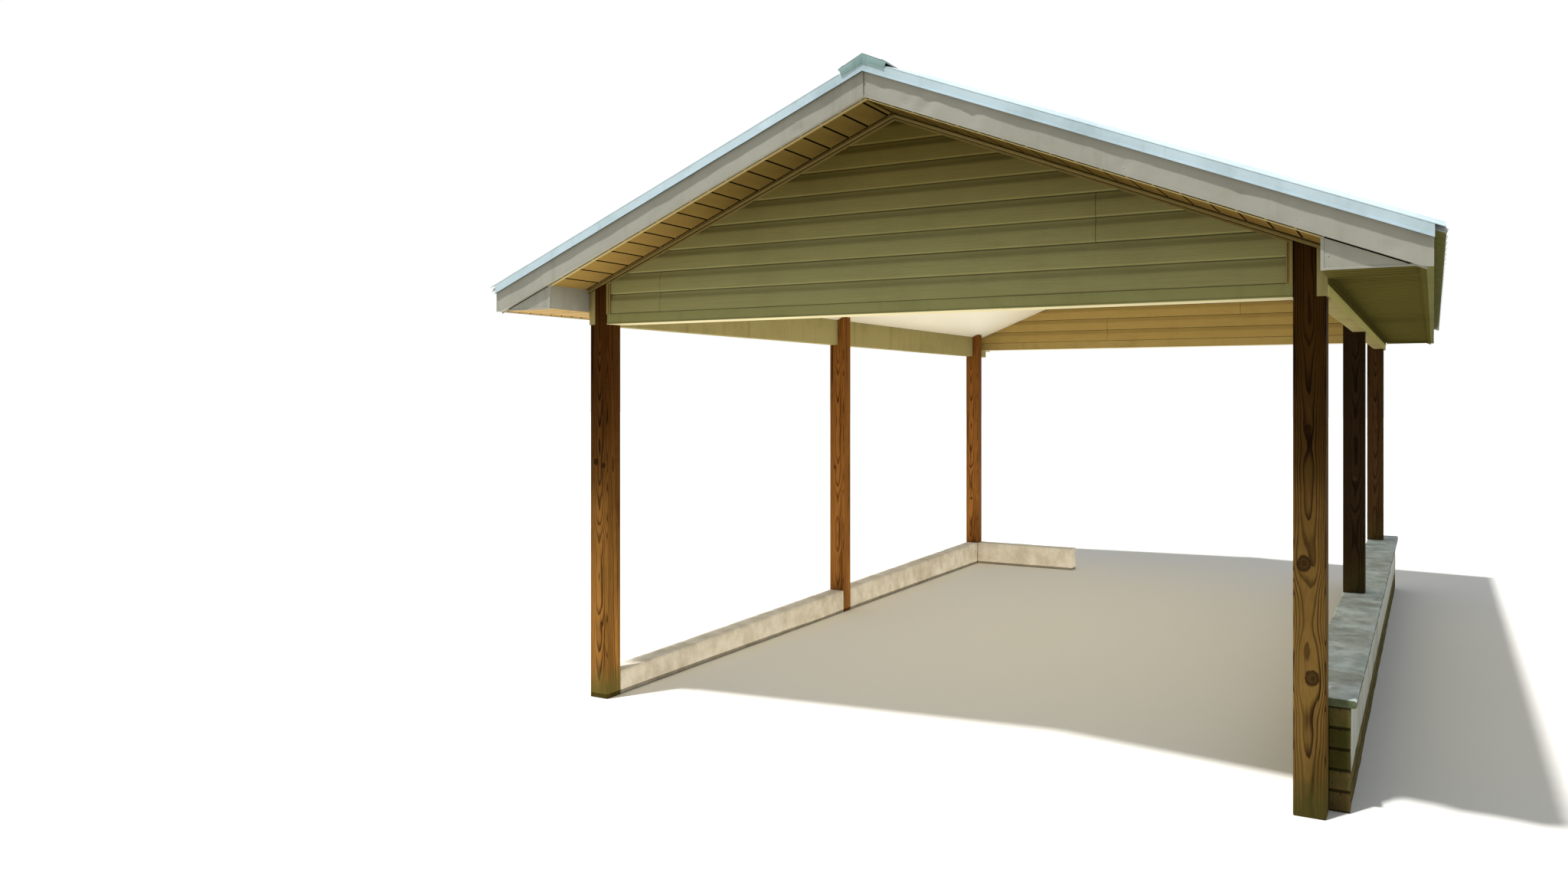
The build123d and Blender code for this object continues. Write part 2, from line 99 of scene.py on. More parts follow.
# Clapboard: height of a course, and its section as depth and height
LAP = 0.127
LAP_PROFILE = (
    (0.0118, 0.0008),
    (0.0068, 0.0),
    (0.0050, 0.0004),
    (0.0, 0.0075),
    (0.0, 0.0800),
    (0.0012, 0.0862),
    (0.0045, 0.0945),
    (0.0082, 0.1040),
    (0.0106, 0.1140),
    (0.0118, 0.1262),
)


def roof_z(peak, x):
    """Height at x of a plane that follows the roof and meets the ridge at peak."""
    return peak - SLOPE * abs(x)


def cap_z(peak, x):
    """Height at x of the ridge cap, which is bent steeper than the roof."""
    return peak - CAP_SLOPE * abs(x)


# Node helpers
VECTOR = "NodeSocketVector"
COLOUR = "NodeSocketColor"
NUMBER = "NodeSocketFloat"


class Value:
    """What a node gives out. A sum or a comparison adds a math node to the same tree."""

    def __init__(self, socket):
        self.socket = socket
        self.tree = socket.id_data

    def __add__(self, other):
        return math_node("ADD", self, other)

    def __sub__(self, other):
        return math_node("SUBTRACT", self, other)

    def __rsub__(self, other):
        return math_node("SUBTRACT", other, self)

    def __mul__(self, other):
        return math_node("MULTIPLY", self, other)

    def __truediv__(self, other):
        return math_node("DIVIDE", self, other)

    def __abs__(self):
        return math_node("ABSOLUTE", self)

    def __gt__(self, other):
        return math_node("GREATER_THAN", self, other)

    def __lt__(self, other):
        return math_node("LESS_THAN", self, other)


def feed(socket, value):
    """Link a node's output to a socket, or set a plain value."""
    if isinstance(value, Value):
        value.tree.links.new(value.socket, socket)
    else:
        socket.default_value = value


def add(kind, settings=None, give=0, tree=None, **inputs):
    """New node beside its inputs, and one of its outputs. An input named i0, i1 and so on goes by place."""
    tree = tree or next(value.tree for value in inputs.values() if isinstance(value, Value))
    node = tree.nodes.new(kind)
    for key, value in (settings or {}).items():
        setattr(node, key, value)
    for key, value in inputs.items():
        by_place = key[0] == "i" and key[1:].isdigit()
        feed(node.inputs[int(key[1:])] if by_place else node.inputs[key], value)
    return Value(node.outputs[give])


def math_node(operation, first, second=0.0, third=0.0, clamp=False):
    """Result of one sum."""
    settings = {"operation": operation, "use_clamp": clamp}
    return add("ShaderNodeMath", settings, i0=first, i1=second, i2=third)


def largest(first, *rest):
    """Largest of some values."""
    for value in rest:
        first = math_node("MAXIMUM", first, value)
    return first


def wrap(value, low, high):
    """Value brought round again and again into a range."""
    return math_node("WRAP", value, high, low)


def mix(amount, first, second, blend="MIX"):
    """Blend of two colours."""
    settings = {"data_type": "RGBA", "blend_type": blend}
    return add("ShaderNodeMix", settings, give=2, i0=amount, i6=first, i7=second)


def remap(value, low, high, new_low=0.0, new_high=1.0):
    """Value stretched smoothly from one range to another and held inside it."""
    settings = {"interpolation_type": "SMOOTHSTEP"}
    return add("ShaderNodeMapRange", settings, i0=value, i1=low, i2=high, i3=new_low, i4=new_high)


def noise(vector, scale, detail=3.0, rough=0.55):
    """Grey cloud pattern."""
    return add("ShaderNodeTexNoise", give="Fac", Vector=vector, Scale=scale, Detail=detail, Roughness=rough)


def stretch(vector, scale):
    """Coordinates with their own scale along each axis."""
    return add("ShaderNodeMapping", Vector=vector, Scale=scale)


def split(vector):
    """The parts X, Y and Z of a vector."""
    return outputs_by_name(add("ShaderNodeSeparateXYZ", Vector=vector))


def combine(x, y, z):
    """Vector from its parts."""
    return add("ShaderNodeCombineXYZ", X=x, Y=y, Z=z)


def vector_sum(operation, first, second):
    """Result of one sum of vectors."""
    return add("ShaderNodeVectorMath", {"operation": operation}, i0=first, i1=second)


def length(x, y, z):
    """Length of a vector from its parts."""
    return add("ShaderNodeVectorMath", {"operation": "LENGTH"}, give="Value", i0=combine(x, y, z))


def outputs_by_name(value):
    """All outputs of the node that a value comes from."""
    return {socket.name: Value(socket) for socket in value.socket.node.outputs}


def object_place(tree):
    """Coordinates in metres, fixed to the object."""
    return add("ShaderNodeTexCoord", give="Object", tree=tree)


def facing(tree):
    """Parts of the direction that a face looks in."""
    return split(add("ShaderNodeNewGeometry", give="True Normal", tree=tree))


def tone(red, green, blue):
    """Colour given as screen values, returned as light values."""
    values = []
    for part in (red, green, blue):
        share = part / 255
        values.append(share / 12.92 if share <= 0.04045 else ((share + 0.055) / 1.055) ** 2.4)
    return (*values, 1)


def new_group(name, inputs, outputs):
    """Shader node group with named sockets: returns it, what comes in and where results go."""
    tree = bpy.data.node_groups.new(name, "ShaderNodeTree")
    for way, sockets in (("INPUT", inputs), ("OUTPUT", outputs)):
        for label, kind in sockets.items():
            tree.interface.new_socket(label, in_out=way, socket_type=kind)
    start = tree.nodes.new("NodeGroupInput").outputs
    end = tree.nodes.new("NodeGroupOutput").inputs
    return tree, {label: Value(start[label]) for label in inputs}, end


def use_group(group, **inputs):
    """Place a node group in a material with its own values, and return its outputs."""
    return outputs_by_name(add("ShaderNodeGroup", {"node_tree": group}, **inputs))


def material(name):
    """New material, and coordinates in it."""
    mat = bpy.data.materials.new(name)
    mat.use_nodes = True
    return mat, object_place(mat.node_tree)


def shader_of(mat):
    """Inputs of a material's shader."""
    return mat.node_tree.nodes["Principled BSDF"].inputs


def surface(mat, colour, rough, height, bump, shine=None):
    """Feed a material's shader. bump: strength and depth of the height."""
    inputs = shader_of(mat)
    strength, distance = bump
    feed(inputs["Base Color"], colour)
    feed(inputs["Roughness"], rough)
    feed(inputs["Normal"], add("ShaderNodeBump", Height=height, Strength=strength, Distance=distance))
    if shine is not None:
        inputs["Specular IOR Level"].default_value = shine
    return mat


# Shared effects
def make_grime_group():
    """Uneven dirt over a colour: broad clouds, fine specks and runs down the face."""
    names = {"Vector": VECTOR, "Color": COLOUR, "Dirt": COLOUR}
    amounts = {"Clouds": NUMBER, "Specks": NUMBER, "Runs": NUMBER}
    tree, start, end = new_group("grime", {**names, **amounts}, {"Color": COLOUR, "Mask": NUMBER})
    vector = start["Vector"]
    clouds = remap(noise(vector, 2.3, 6.0, 0.65), 0.42, 0.75) * start["Clouds"]
    specks = remap(noise(vector, 110.0, 2.0), 0.62, 0.72) * start["Specks"]
    thin = stretch(vector, (11.0, 11.0, 0.8))
    runs = remap(noise(thin, 1.6, 5.0, 0.6), 0.5, 0.8) * start["Runs"]
    total = math_node("ADD", clouds + specks, runs, clamp=True)
    feed(end["Color"], mix(total, start["Color"], start["Dirt"]))
    feed(end["Mask"], total)
    return tree


def make_sheet_group():
    """Height of thin sheet: slow waves less sparse soft dents."""
    names = {"Vector": VECTOR, "Wave": NUMBER, "Dent": NUMBER}
    tree, start, end = new_group("sheet_waves", names, {"Height": NUMBER})
    vector = start["Vector"]
    wave = noise(vector, 2.8, 2.0, 0.4) * start["Wave"]
    settings = {"feature": "SMOOTH_F1"}
    cells = add("ShaderNodeTexVoronoi", settings, give="Distance", Vector=vector, Scale=4.3, Smoothness=0.3)
    pit = remap(cells, 0.02, 0.26, 1.0, 0.0) * remap(noise(vector, 2.1, 1.0), 0.48, 0.6)
    feed(end["Height"], wave - pit * start["Dent"])
    return tree


def make_knot_group():
    """One knot: spreads the grain round itself. Eye grows from nought outside to one in its middle."""
    names = {"Vector": VECTOR, "Eye": NUMBER, "Rim": NUMBER}
    tree, start, end = new_group("knot", {**names, "Centre": VECTOR, "Size": NUMBER}, names)
    place, size = start["Vector"], start["Size"]
    x, y, z = split(vector_sum("SUBTRACT", place, start["Centre"])).values()
    wobble = noise(place, 34.0, 2.0) * 0.018 - 0.009
    near = (length(x, y * 0.25, z * 0.8) + wobble) / size
    reach = length(x, y * 0.25, z * 0.33) / size
    fade = math_node("EXPONENT", reach * reach * -0.32)
    eye = largest(1.0 - near * 0.75, 0.0)
    rim = remap(near, 0.72, 0.96) * remap(near, 0.98, 1.3, 1.0, 0.0)
    feed(end["Vector"], vector_sum("ADD", place, combine(x * (fade * -0.86), 0.0, 0.0)))
    feed(end["Eye"], largest(eye, start["Eye"]))
    feed(end["Rim"], largest(rim, start["Rim"]))
    return tree


def make_pine_group():
    """Sawn softwood: growth rings round a wandering pith, fibres, streaks and checks."""
    names = {"Vector": VECTOR, "Light": COLOUR, "Dark": COLOUR, "Knot": COLOUR}
    names.update(dict.fromkeys(("Eye", "Rim", "Rings", "Wander", "Tilt"), NUMBER))
    tree, start, end = new_group("pine", names, {"Color": COLOUR, "Height": NUMBER})
    vector, eye, dark = start["Vector"], start["Eye"], start["Dark"]
    x, y, z = split(vector).values()
    slow = noise(stretch(vector, (0.2, 0.2, 1.5)), 1.0, 2.0, 0.45) - 0.5
    small = noise(stretch(vector, (22.0, 22.0, 2.6)), 1.0, 3.0, 0.5)
    radius = small * 0.007 + length(x, slow * start["Wander"] + (z * start["Tilt"] + y), 0.0)
    turn = math_node("FRACT", radius * start["Rings"])
    vary = noise(stretch(vector, (20.0, 20.0, 0.9)), 1.0, 3.0, 0.6)
    late = remap(turn, 0.42, 0.88) * remap(turn, 0.93, 1.0, 1.0, 0.0) * remap(vary, 0.3, 0.7, 0.5, 1.0)
    colour = mix(late, start["Light"], dark)
    eye_rings = eye * 0.5 + math_node("PINGPONG", eye * 3.0, 0.5)
    colour = mix(remap(eye, 0.22, 0.28), colour, mix(eye_rings, start["Knot"], dark))
    colour = mix(start["Rim"] * 0.85, colour, tone(36, 22, 10))
    fibre = noise(stretch(vector, (380.0, 380.0, 8.0)), 1.0, 2.0, 0.6)
    colour = mix(remap(fibre, 0.4, 0.8, 0.0, 0.4), colour, dark)
    check = remap(noise(stretch(vector, (55.0, 55.0, 1.1)), 1.0, 2.0), 0.665, 0.70)
    feed(end["Color"], mix(check * 0.75, colour, tone(28, 17, 8)))
    feed(end["Height"], fibre * 0.3 + late * 0.5 - check * 1.8 + eye * 0.5)
    return tree


def make_concrete_group():
    """Cast concrete: mottled greys, pores and sand."""
    names = {"Vector": VECTOR, "Light": COLOUR, "Dark": COLOUR, "Stain": COLOUR, "Stained": NUMBER}
    tree, start, end = new_group("concrete", names, {"Color": COLOUR, "Height": NUMBER})
    vector, dark = start["Vector"], start["Dark"]
    mottle = remap(noise(vector, 7.0, 7.0, 0.68), 0.35, 0.68)
    colour = mix(mottle, start["Light"], dark)
    stain = remap(noise(vector, 2.2, 7.0, 0.68), 0.47, 0.66) * start["Stained"]
    colour = mix(stain, colour, start["Stain"])
    sand = noise(vector, 240.0, 3.0, 0.6)
    cells = add("ShaderNodeTexVoronoi", give="Distance", Vector=vector, Scale=70.0)
    pore = remap(cells, 0.10, 0.22, 1.0, 0.0) * remap(noise(vector, 30.0, 2.0), 0.55, 0.62)
    colour = mix(pore * 0.6, colour, dark)
    feed(end["Color"], mix(remap(sand, 0.55, 0.75, 0.0, 0.35), colour, dark))
    feed(end["Height"], sand * 0.5 - pore * 1.4 + mottle * 0.7)
    return tree


GRIME = make_grime_group()
SHEET_WAVES = make_sheet_group()
KNOT = make_knot_group()
PINE = make_pine_group()
CONCRETE = make_concrete_group()


# Materials
def grimed(vector, colour, dirt, clouds, specks, runs):
    """Screen colours with dirt on them: returns the colour and the dirt's mask."""
    tones = {"Color": tone(*colour), "Dirt": tone(*dirt)}
    return use_group(GRIME, Vector=vector, Clouds=clouds, Specks=specks, Runs=runs, **tones).values()


def sheet_metal(name, colour, dirt, waves, dirty, rough, shine):
    """Coated thin sheet. waves: of waves and dents. dirty: of clouds, specks and runs."""
    mat, vector = material(name)
    color, mask = grimed(vector, colour, dirt, *dirty)
    height = use_group(SHEET_WAVES, Vector=vector, Wave=waves[0], Dent=waves[1])["Height"]
    height = noise(vector, 420.0, 2.0) * 0.006 + height
    rough = remap(mask, 0.0, 1.0, rough, rough + 0.35)
    return surface(mat, color, rough, height, bump=(1.0, 0.02), shine=shine)


def screw_steel():
    """Galvanised steel with a mottled shine."""
    mat, vector = material("screw_steel")
    cells = add("ShaderNodeTexVoronoi", give="Color", Vector=vector, Scale=60.0)
    shade = mix(0.12, tone(176, 180, 184), cells, "MULTIPLY")
    cloud = noise(vector, 9.0, 4.0, 0.6)
    color = mix(remap(cloud, 0.5, 0.75, 0.0, 0.3), shade, tone(110, 104, 92))
    shader_of(mat)["Metallic"].default_value = 0.8
    rough = remap(cloud, 0.3, 0.7, 0.35, 0.55)
    return surface(mat, color, rough, noise(vector, 300.0, 2.0), bump=(0.3, 0.0005))


def vinyl(name, colour, dirt, grain_scale, lines, shine):
    """Moulded vinyl with a pressed wood grain along one axis and painted shade in its hollow lines."""
    mat, vector = material(name)
    grain = noise(stretch(vector, grain_scale), 1.0, 4.0, 0.65)
    color, _ = grimed(vector, colour, dirt, 0.2, 0.08, 0.06)
    color = mix(remap(grain, 0.35, 0.75, 0.0, 0.22), color, tone(*dirt))
    # Painted shade: the hollow lines that each vinyl marks are made near black.
    color = mix(lines(split(vector)), color, tone(24, 18, 9))
    wave = noise(stretch(vector, (1.0, 1.0, 0.3)), 2.6, 2.0)
    rough = remap(grain, 0.3, 0.7, 0.42, 0.62)
    return surface(mat, color, rough, wave * 7.0 + grain, bump=(0.6, 0.0014), shine=shine)


def pitch_lines(along, first, pitch, width):
    """One on narrow lines at a constant pitch, nought between them."""
    away = math_node("PINGPONG", along - first, pitch / 2)
    return remap(away, width * 0.35, width * 0.6, 1.0, 0.0)


def between(value, low, high):
    """One where a value lies between two bounds."""
    return (value > low) * (value < high)


def lap_lines(foot):
    """Painted shade in the cove and under the lip of every course that starts at a height."""
    def lines(parts):
        slit = pitch_lines(parts["Z"], foot - 0.0030, LAP, 0.0065)
        level = wrap(parts["Z"], foot, foot + LAP)
        return largest(slit * 0.6, remap(level, foot + 0.066, foot + 0.096, 0.0, 0.13))
    return lines


def channel_lines(parts):
    """Painted shade in the slots between the strips of a rake channel and above them."""
    drop = SOFFIT_PEAK - abs(parts["X"]) * SLOPE - parts["Z"]
    return (between(drop, 0.0218, 0.0252) + between(drop, -0.005, 0.0043)) * 0.9


def rake_soffit_lines(parts):
    """Painted shade in the grooves up the slope, in the gap at the wall and in the joint at the ridge."""
    across, along = abs(parts["X"]), abs(parts["Y"])
    gap_start = CHANNEL_PROUD - Y_FRONT
    grooves = pitch_lines(across, RAKE_FIRST_GROOVE, RAKE_GROOVES, 0.012)
    grooves = grooves * between(along, gap_start, -Y_BOARD - RAKE_EDGE)
    return largest(grooves, between(along, gap_start, gap_start + GAP_SHADE), across < 0.005)


def eave_soffit_lines(parts):
    """Painted shade in the grooves across the level soffit."""
    grooves = pitch_lines(parts["Y"], Y_FRONT + EAVE_GROOVES / 2, EAVE_GROOVES, 0.014)
    on_panel = between(abs(parts["X"]), BEAM_HIGH.x + EAVE_CHANNEL, FASCIA_X - BOARD - EAVE_LEDGE)
    return grooves * on_panel * 0.85


def post_wood(node, knots, light, dark, pith, tilt, stained):
    """Treated pine for one post, with its own pith, knots and mossy foot."""
    mat, vector = material(node + "_wood")
    low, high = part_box(node)
    centre = Vector(((low.x + high.x) / 2 + pith[0], (low.y + high.y) / 2 + pith[1], 0.0))
    place = vector_sum("SUBTRACT", vector, centre)
    grain = {"Vector": place, "Eye": 0.0, "Rim": 0.0}
    for *spot, size in knots:
        grain = use_group(KNOT, Centre=Vector(spot) - centre, Size=size, **grain)
    tones = {"Light": tone(*light), "Dark": tone(*dark), "Knot": tone(104, 80, 44)}
    color, height = use_group(PINE, Rings=165.0, Wander=0.05, Tilt=tilt, **grain, **tones).values()
    z = split(place)["Z"]
    cloud = noise(place, 7.0, 5.0, 0.65)
    shade = remap(noise(stretch(place, (5.0, 5.0, 0.9)), 1.0, 5.0, 0.6), 0.42, 0.72, 0.0, 0.6)
    color = mix(shade, color, tone(138, 120, 98), "MULTIPLY")
    # Darker towards the top of the post.
    top_darkening = remap(cloud * 0.5 + z, 0.5, 2.3, 0.0, stained)
    color = mix(top_darkening, color, tone(138, 120, 98), "MULTIPLY")
    moss = remap(cloud * -0.35 + z, low.z - 0.16, low.z + 0.12, 0.8 * stained, 0.0)
    color = mix(moss, color, tone(86, 82, 40))
    return surface(mat, color, remap(cloud, 0.3, 0.7, 0.68, 0.86), height, bump=(0.7, 0.0016), shine=0.04)


def wall_wood():
    """Weathered landscape timber: end rings, cracks, moss, and painted shade in the joints between courses.
    """
    mat, vector = material("wall_wood")
    x, y, z = split(vector).values()
    low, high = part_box("wall_course_1")
    rise = high.z - low.z
    width = 0.124
    edge = low.x - 0.017
    turned = combine(wrap(x, edge, edge + width) - (low.x + 0.040), wrap(z, 0.0, rise) - rise * 0.42, y)
    tones = {"Light": tone(134, 116, 72), "Dark": tone(70, 54, 30), "Knot": tone(80, 60, 36)}
    color, height = use_group(PINE, Vector=turned, Rings=150.0, Wander=0.03, Tilt=0.004, **tones).values()
    moss = remap(noise(vector, 5.0, 6.0, 0.68), 0.40, 0.62, 0.0, 0.8)
    color = mix(moss, color, tone(88, 94, 42))
    course = math_node("FLOOR", z / rise)
    pick = add("ShaderNodeTexWhiteNoise", {"noise_dimensions": "1D"}, give="Value", W=course)
    color = mix(pick * 0.6, color, tone(150, 140, 120), "MULTIPLY")
    # Painted shade: near-black lines in the joints between the stacked timbers.
    color = mix(pitch_lines(z, 0.0, rise, 0.016) * 0.75, color, tone(24, 20, 10))
    return surface(mat, color, remap(moss, 0.0, 1.0, 0.75, 0.95), height, bump=(0.9, 0.003), shine=0.04)


def frame_timber():
    """Raw sawn softwood inside the roof."""
    mat, vector = material("frame_timber")
    x, y, z = split(vector).values()
    tones = {"Light": tone(214, 178, 124), "Dark": tone(168, 122, 72), "Knot": tone(120, 80, 44)}
    wood = use_group(PINE, Vector=combine(y, z, x), Rings=60.0, Wander=0.04, Tilt=0.02, **tones)
    return surface(mat, wood["Color"], 0.8, wood["Height"], bump=(0.5, 0.001))


def concrete(name, light, dark, stain, stained, brushed, side):
    """Concrete in three screen colours, with brush lines across and a darker tint for its sides that paints
    shade on them.
    """
    mat, vector = material(name)
    tones = {"Light": tone(*light), "Dark": tone(*dark), "Stain": tone(*stain)}
    color, height = use_group(CONCRETE, Vector=vector, Stained=stained, **tones).values()
    lines = noise(stretch(vector, (5.0, 170.0, 5.0)), 1.0, 3.0, 0.6)
    color = mix(remap(lines, 0.45, 0.7, 0.0, brushed), color, tone(*dark))
    # Painted shade: faces that do not look up get the darker tint of the sides.
    sides = mix(facing(mat.node_tree)["Z"] < 0.3, (1, 1, 1, 1), tone(*side))
    color = mix(1.0, color, sides, "MULTIPLY")
    height = lines * (brushed * 2.0) + height
    return surface(mat, color, remap(lines, 0.3, 0.7, 0.82, 0.96), height, bump=(0.8, 0.0025), shine=0.2)


def ceiling_paint():
    """Cream panels with slow waves and faint dirt."""
    mat, vector = material("ceiling_paint")
    color, mask = grimed(vector, (230, 225, 208), (196, 184, 152), 0.08, 0.06, 0.0)
    height = noise(vector, 1.6, 1.0) * 0.8 + noise(vector, 160.0, 2.0)
    return surface(mat, color, remap(mask, 0.0, 1.0, 0.5, 0.7), height, bump=(0.5, 0.0012))


def tint(mat, amount, colour, blend):
    """Lay a screen colour over a finished material by an amount worked out in its tree."""
    base = shader_of(mat)["Base Color"]
    under = Value(base.links[0].from_socket)
    feed(base, mix(amount(mat.node_tree), under, tone(*colour), blend))


def facing_down(tree):
    """One on faces that look down."""
    return facing(tree)["Z"] < -0.3


def facing_out(tree):
    """One on faces that look away from the middle and stand more than a metre from it."""
    return facing(tree)["X"] * split(object_place(tree))["X"] > 1.0


def right_half(tree):
    """One on the right of the middle."""
    return split(object_place(tree))["X"] > 0.0


def by_the_fascia(tree):
    """One on the strip of a rake soffit that lies against the fascia."""
    return abs(split(object_place(tree))["Y"]) > -Y_BOARD - RAKE_EDGE


def height_between(low, high):
    """Amount that grows from nought to one between two heights."""
    return lambda tree: remap(split(object_place(tree))["Z"], low, high)


# Colour, dirt, waves and dents, clouds and specks and runs of dirt, roughness, shine
SHEET_PAINTS = {
    "beam_wrap": ((160, 150, 104), (108, 90, 54), (0.12, 0.04), (0.3, 0.12, 0.35), 0.42, 0.0),
    # The two headers are one coil paint: the front one greener for painted green reflection, the back one
    # warmer for painted warm bounce light.
    "front_header": ((157, 156, 104), (112, 104, 60), (0.12, 0.04), (0.3, 0.12, 0.2), 0.42, 0.0),
    "back_header": ((168, 146, 92), (120, 102, 58), (0.12, 0.04), (0.3, 0.12, 0.2), 0.42, 0.0),
    # The eave board is the fascia's coil paint made darker and olive: painted shade under the roof edge and
    # painted green reflection.
    "eave_board": ((128, 128, 88), (92, 88, 56), (0.20, 0.28), (0.35, 0.1, 0.3), 0.40, 0.0),
    "fascia": ((172, 172, 162), (120, 116, 96), (0.20, 0.28), (0.25, 0.1, 0.2), 0.36, 0.2),
    "trim": ((206, 228, 240), (146, 168, 172), (0.12, 0.3), (0.5, 0.1, 0.2), 0.30, 0.3),
    "ridge": ((158, 188, 188), (100, 130, 128), (0.12, 0.12), (0.5, 0.1, 0.2), 0.30, 0.3),
    "roof": ((194, 201, 204), (136, 138, 134), (0.05, 0.02), (0.22, 0.1, 0.25), 0.32, 0.4),
    "wall_sheet": ((200, 202, 190), (108, 108, 78), (0.2, 0.2), (0.5, 0.25, 0.6), 0.45, 0.15),
}
# Colour, dirt, scale of the grain, lines of painted shade, shine
LAP_GRAIN = (4.0, 150.0, 150.0)
RAKE_GRAIN = (150.0, 4.0, 150.0)
VINYLS = {
    # The two sidings are one vinyl: the front one darker and olive for painted shade and green reflection,
    # the back one warmer for painted warm bounce light.
    "front_siding": ((154, 151, 102), (110, 101, 60), LAP_GRAIN, lap_lines(HEADERS["front"][1].z), 0.1),
    "back_siding": ((166, 141, 82), (120, 100, 52), LAP_GRAIN, lap_lines(HEADERS["back"][1].z), 0.1),
    "channel": ((150, 132, 80), (106, 90, 48), LAP_GRAIN, channel_lines, 0.1),
    "soffit": ((156, 128, 72), (110, 88, 48), RAKE_GRAIN, rake_soffit_lines, 0.0),
    "eave_soffit": ((206, 178, 130), (150, 126, 82), LAP_GRAIN, eave_soffit_lines, 0.0),
}
# Light, dark and stain, amount of stain, brush lines, tint of the sides as painted shade
CONCRETES = {
    "curb_concrete": ((236, 232, 224), (210, 203, 188), (160, 146, 124), 0.3, 0.0, (234, 229, 220)),
    "cap_concrete": ((212, 226, 230), (156, 168, 170), (132, 126, 108), 0.45, 0.07, (152, 154, 114)),
    # Near-black strips under the ridge cap: painted shade of the hollow there.
    "filler_foam": ((30, 30, 32), (18, 18, 20), (52, 48, 44), 0.3, 0.0, (255, 255, 255)),
}
# Where a second colour lies on a finished material. Rows marked above them paint light or shade.
TINTS = (
    # Painted light: outer faces of the beams made brighter and yellower, as if lit from outside.
    ("beam_wrap", facing_out, (218, 212, 142), "MIX"),
    # Painted light: pale cream undersides of the headers, as if lit from the ground.
    ("front_header", facing_down, (222, 214, 178), "MIX"),
    ("back_header", facing_down, (222, 214, 178), "MIX"),
    # Painted shade: the trim's downward faces made dark, as in the gap under the drip edge.
    ("trim", facing_down, (84, 88, 84), "MIX"),
    # Painted shade and painted green reflection: olive undersides of the roof sheets.
    ("roof", facing_down, (138, 138, 82), "MIX"),
    # Painted shade: the front siding made darker towards the peak, as under the roof's overhang.
    ("front_siding", height_between(2.5, 3.4), (186, 170, 126), "MULTIPLY"),
    ("soffit", height_between(2.75, 3.2), (196, 200, 192), "MULTIPLY"),
    # Painted shade: the right rake soffit made darker.
    ("soffit", right_half, (206, 204, 198), "MULTIPLY"),
    # Painted light: a lighter strip of the rake soffit along the fascia, as if lit from below.
    ("soffit", by_the_fascia, (190, 172, 122), "MIX"),
    # Painted shade and painted green reflection: the right eave soffit made darker and olive.
    ("eave_soffit", right_half, (126, 138, 104), "MULTIPLY"),
)


def make_materials():
    """All materials but the posts', by name."""
    made = {"wall_timber": wall_wood(), "frame": frame_timber()}
    made.update({"ceiling": ceiling_paint(), "screw": screw_steel()})
    for name, values in SHEET_PAINTS.items():
        made[name] = sheet_metal(name + "_paint", *values)
    for name, values in VINYLS.items():
        made[name] = vinyl(name + "_vinyl", *values)
    for name, values in CONCRETES.items():
        made[name] = concrete(name, *values)
    for name, *values in TINTS:
        tint(made[name], *values)
    return made


MATERIALS = make_materials()


# Camera, floor and light
def new_object(name, data):
    """New object in the scene."""
    obj = bpy.data.objects.new(name, data)
    bpy.context.scene.collection.objects.link(obj)
    return obj


def add_camera():
    """Level camera at the photograph's viewing place."""
    photo_width = 2048
    focal_pixels = 1481.5
    centre_drop = 59.7
    centre_side = 6.9
    data = bpy.data.cameras.new("photo_camera")
    data.sensor_width = 36.0
    data.lens = focal_pixels / photo_width * data.sensor_width
    data.shift_x = centre_side / photo_width
    data.shift_y = -centre_drop / photo_width
    camera = new_object("photo_camera", data)
    camera.location = (2.578, -9.395, 1.949)
    camera.rotation_euler = (math.pi / 2, 0, 0.5234)
    bpy.context.scene.camera = camera


def add_sun():
    """Sun from the left of the front, high up."""
    bearing = math.radians(-30)
    height = math.radians(69)
    data = bpy.data.lights.new("key", "SUN")
    data.energy = 3.5
    data.angle = 0.045  # soft edge of the shadows
    data.color = (1.0, 0.975, 0.93)
    lamp = new_object("key", data)
    level = math.cos(height)
    aim = Vector((-math.sin(bearing) * level, math.cos(bearing) * level, -math.sin(height)))
    lamp.rotation_euler = aim.to_track_quat("-Z", "Y").to_euler()


def add_bounce_light():
    """Warm light that the ground throws up under the roof."""
    data = bpy.data.lights.new("ground_bounce", "AREA")
    data.shape = "RECTANGLE"
    data.size = 6.4
    data.size_y = 11.0
    data.energy = 290
    data.color = (1.0, 0.95, 0.84)
    lamp = new_object("ground_bounce", data)
    lamp.location = (-1.6, -0.8, 0.02)
    lamp.rotation_euler = (math.pi, 0, 0)
    lamp.visible_camera = False
    lamp.visible_glossy = False


def camera_only(tree):
    """Factor that is one for what the eye or a mirror sees and nought for lighting."""
    rays = outputs_by_name(add("ShaderNodeLightPath", tree=tree))
    return largest(rays["Is Camera Ray"], rays["Is Glossy Ray"], rays["Is Transmission Ray"])


def add_world():
    """Soft light from all round, shown white where nothing stands."""
    world = bpy.data.worlds.new("studio_world")
    bpy.context.scene.world = world
    world.use_nodes = True
    tree = world.node_tree
    tree.nodes.clear()
    light = add("ShaderNodeBackground", tree=tree, Color=(0.93, 0.97, 1.0, 1), Strength=0.46)
    white = add("ShaderNodeBackground", tree=tree, Color=(1, 1, 1, 1))
    shown = add("ShaderNodeMixShader", i0=camera_only(tree), i1=light, i2=white)
    feed(tree.nodes.new("ShaderNodeOutputWorld").inputs["Surface"], shown)


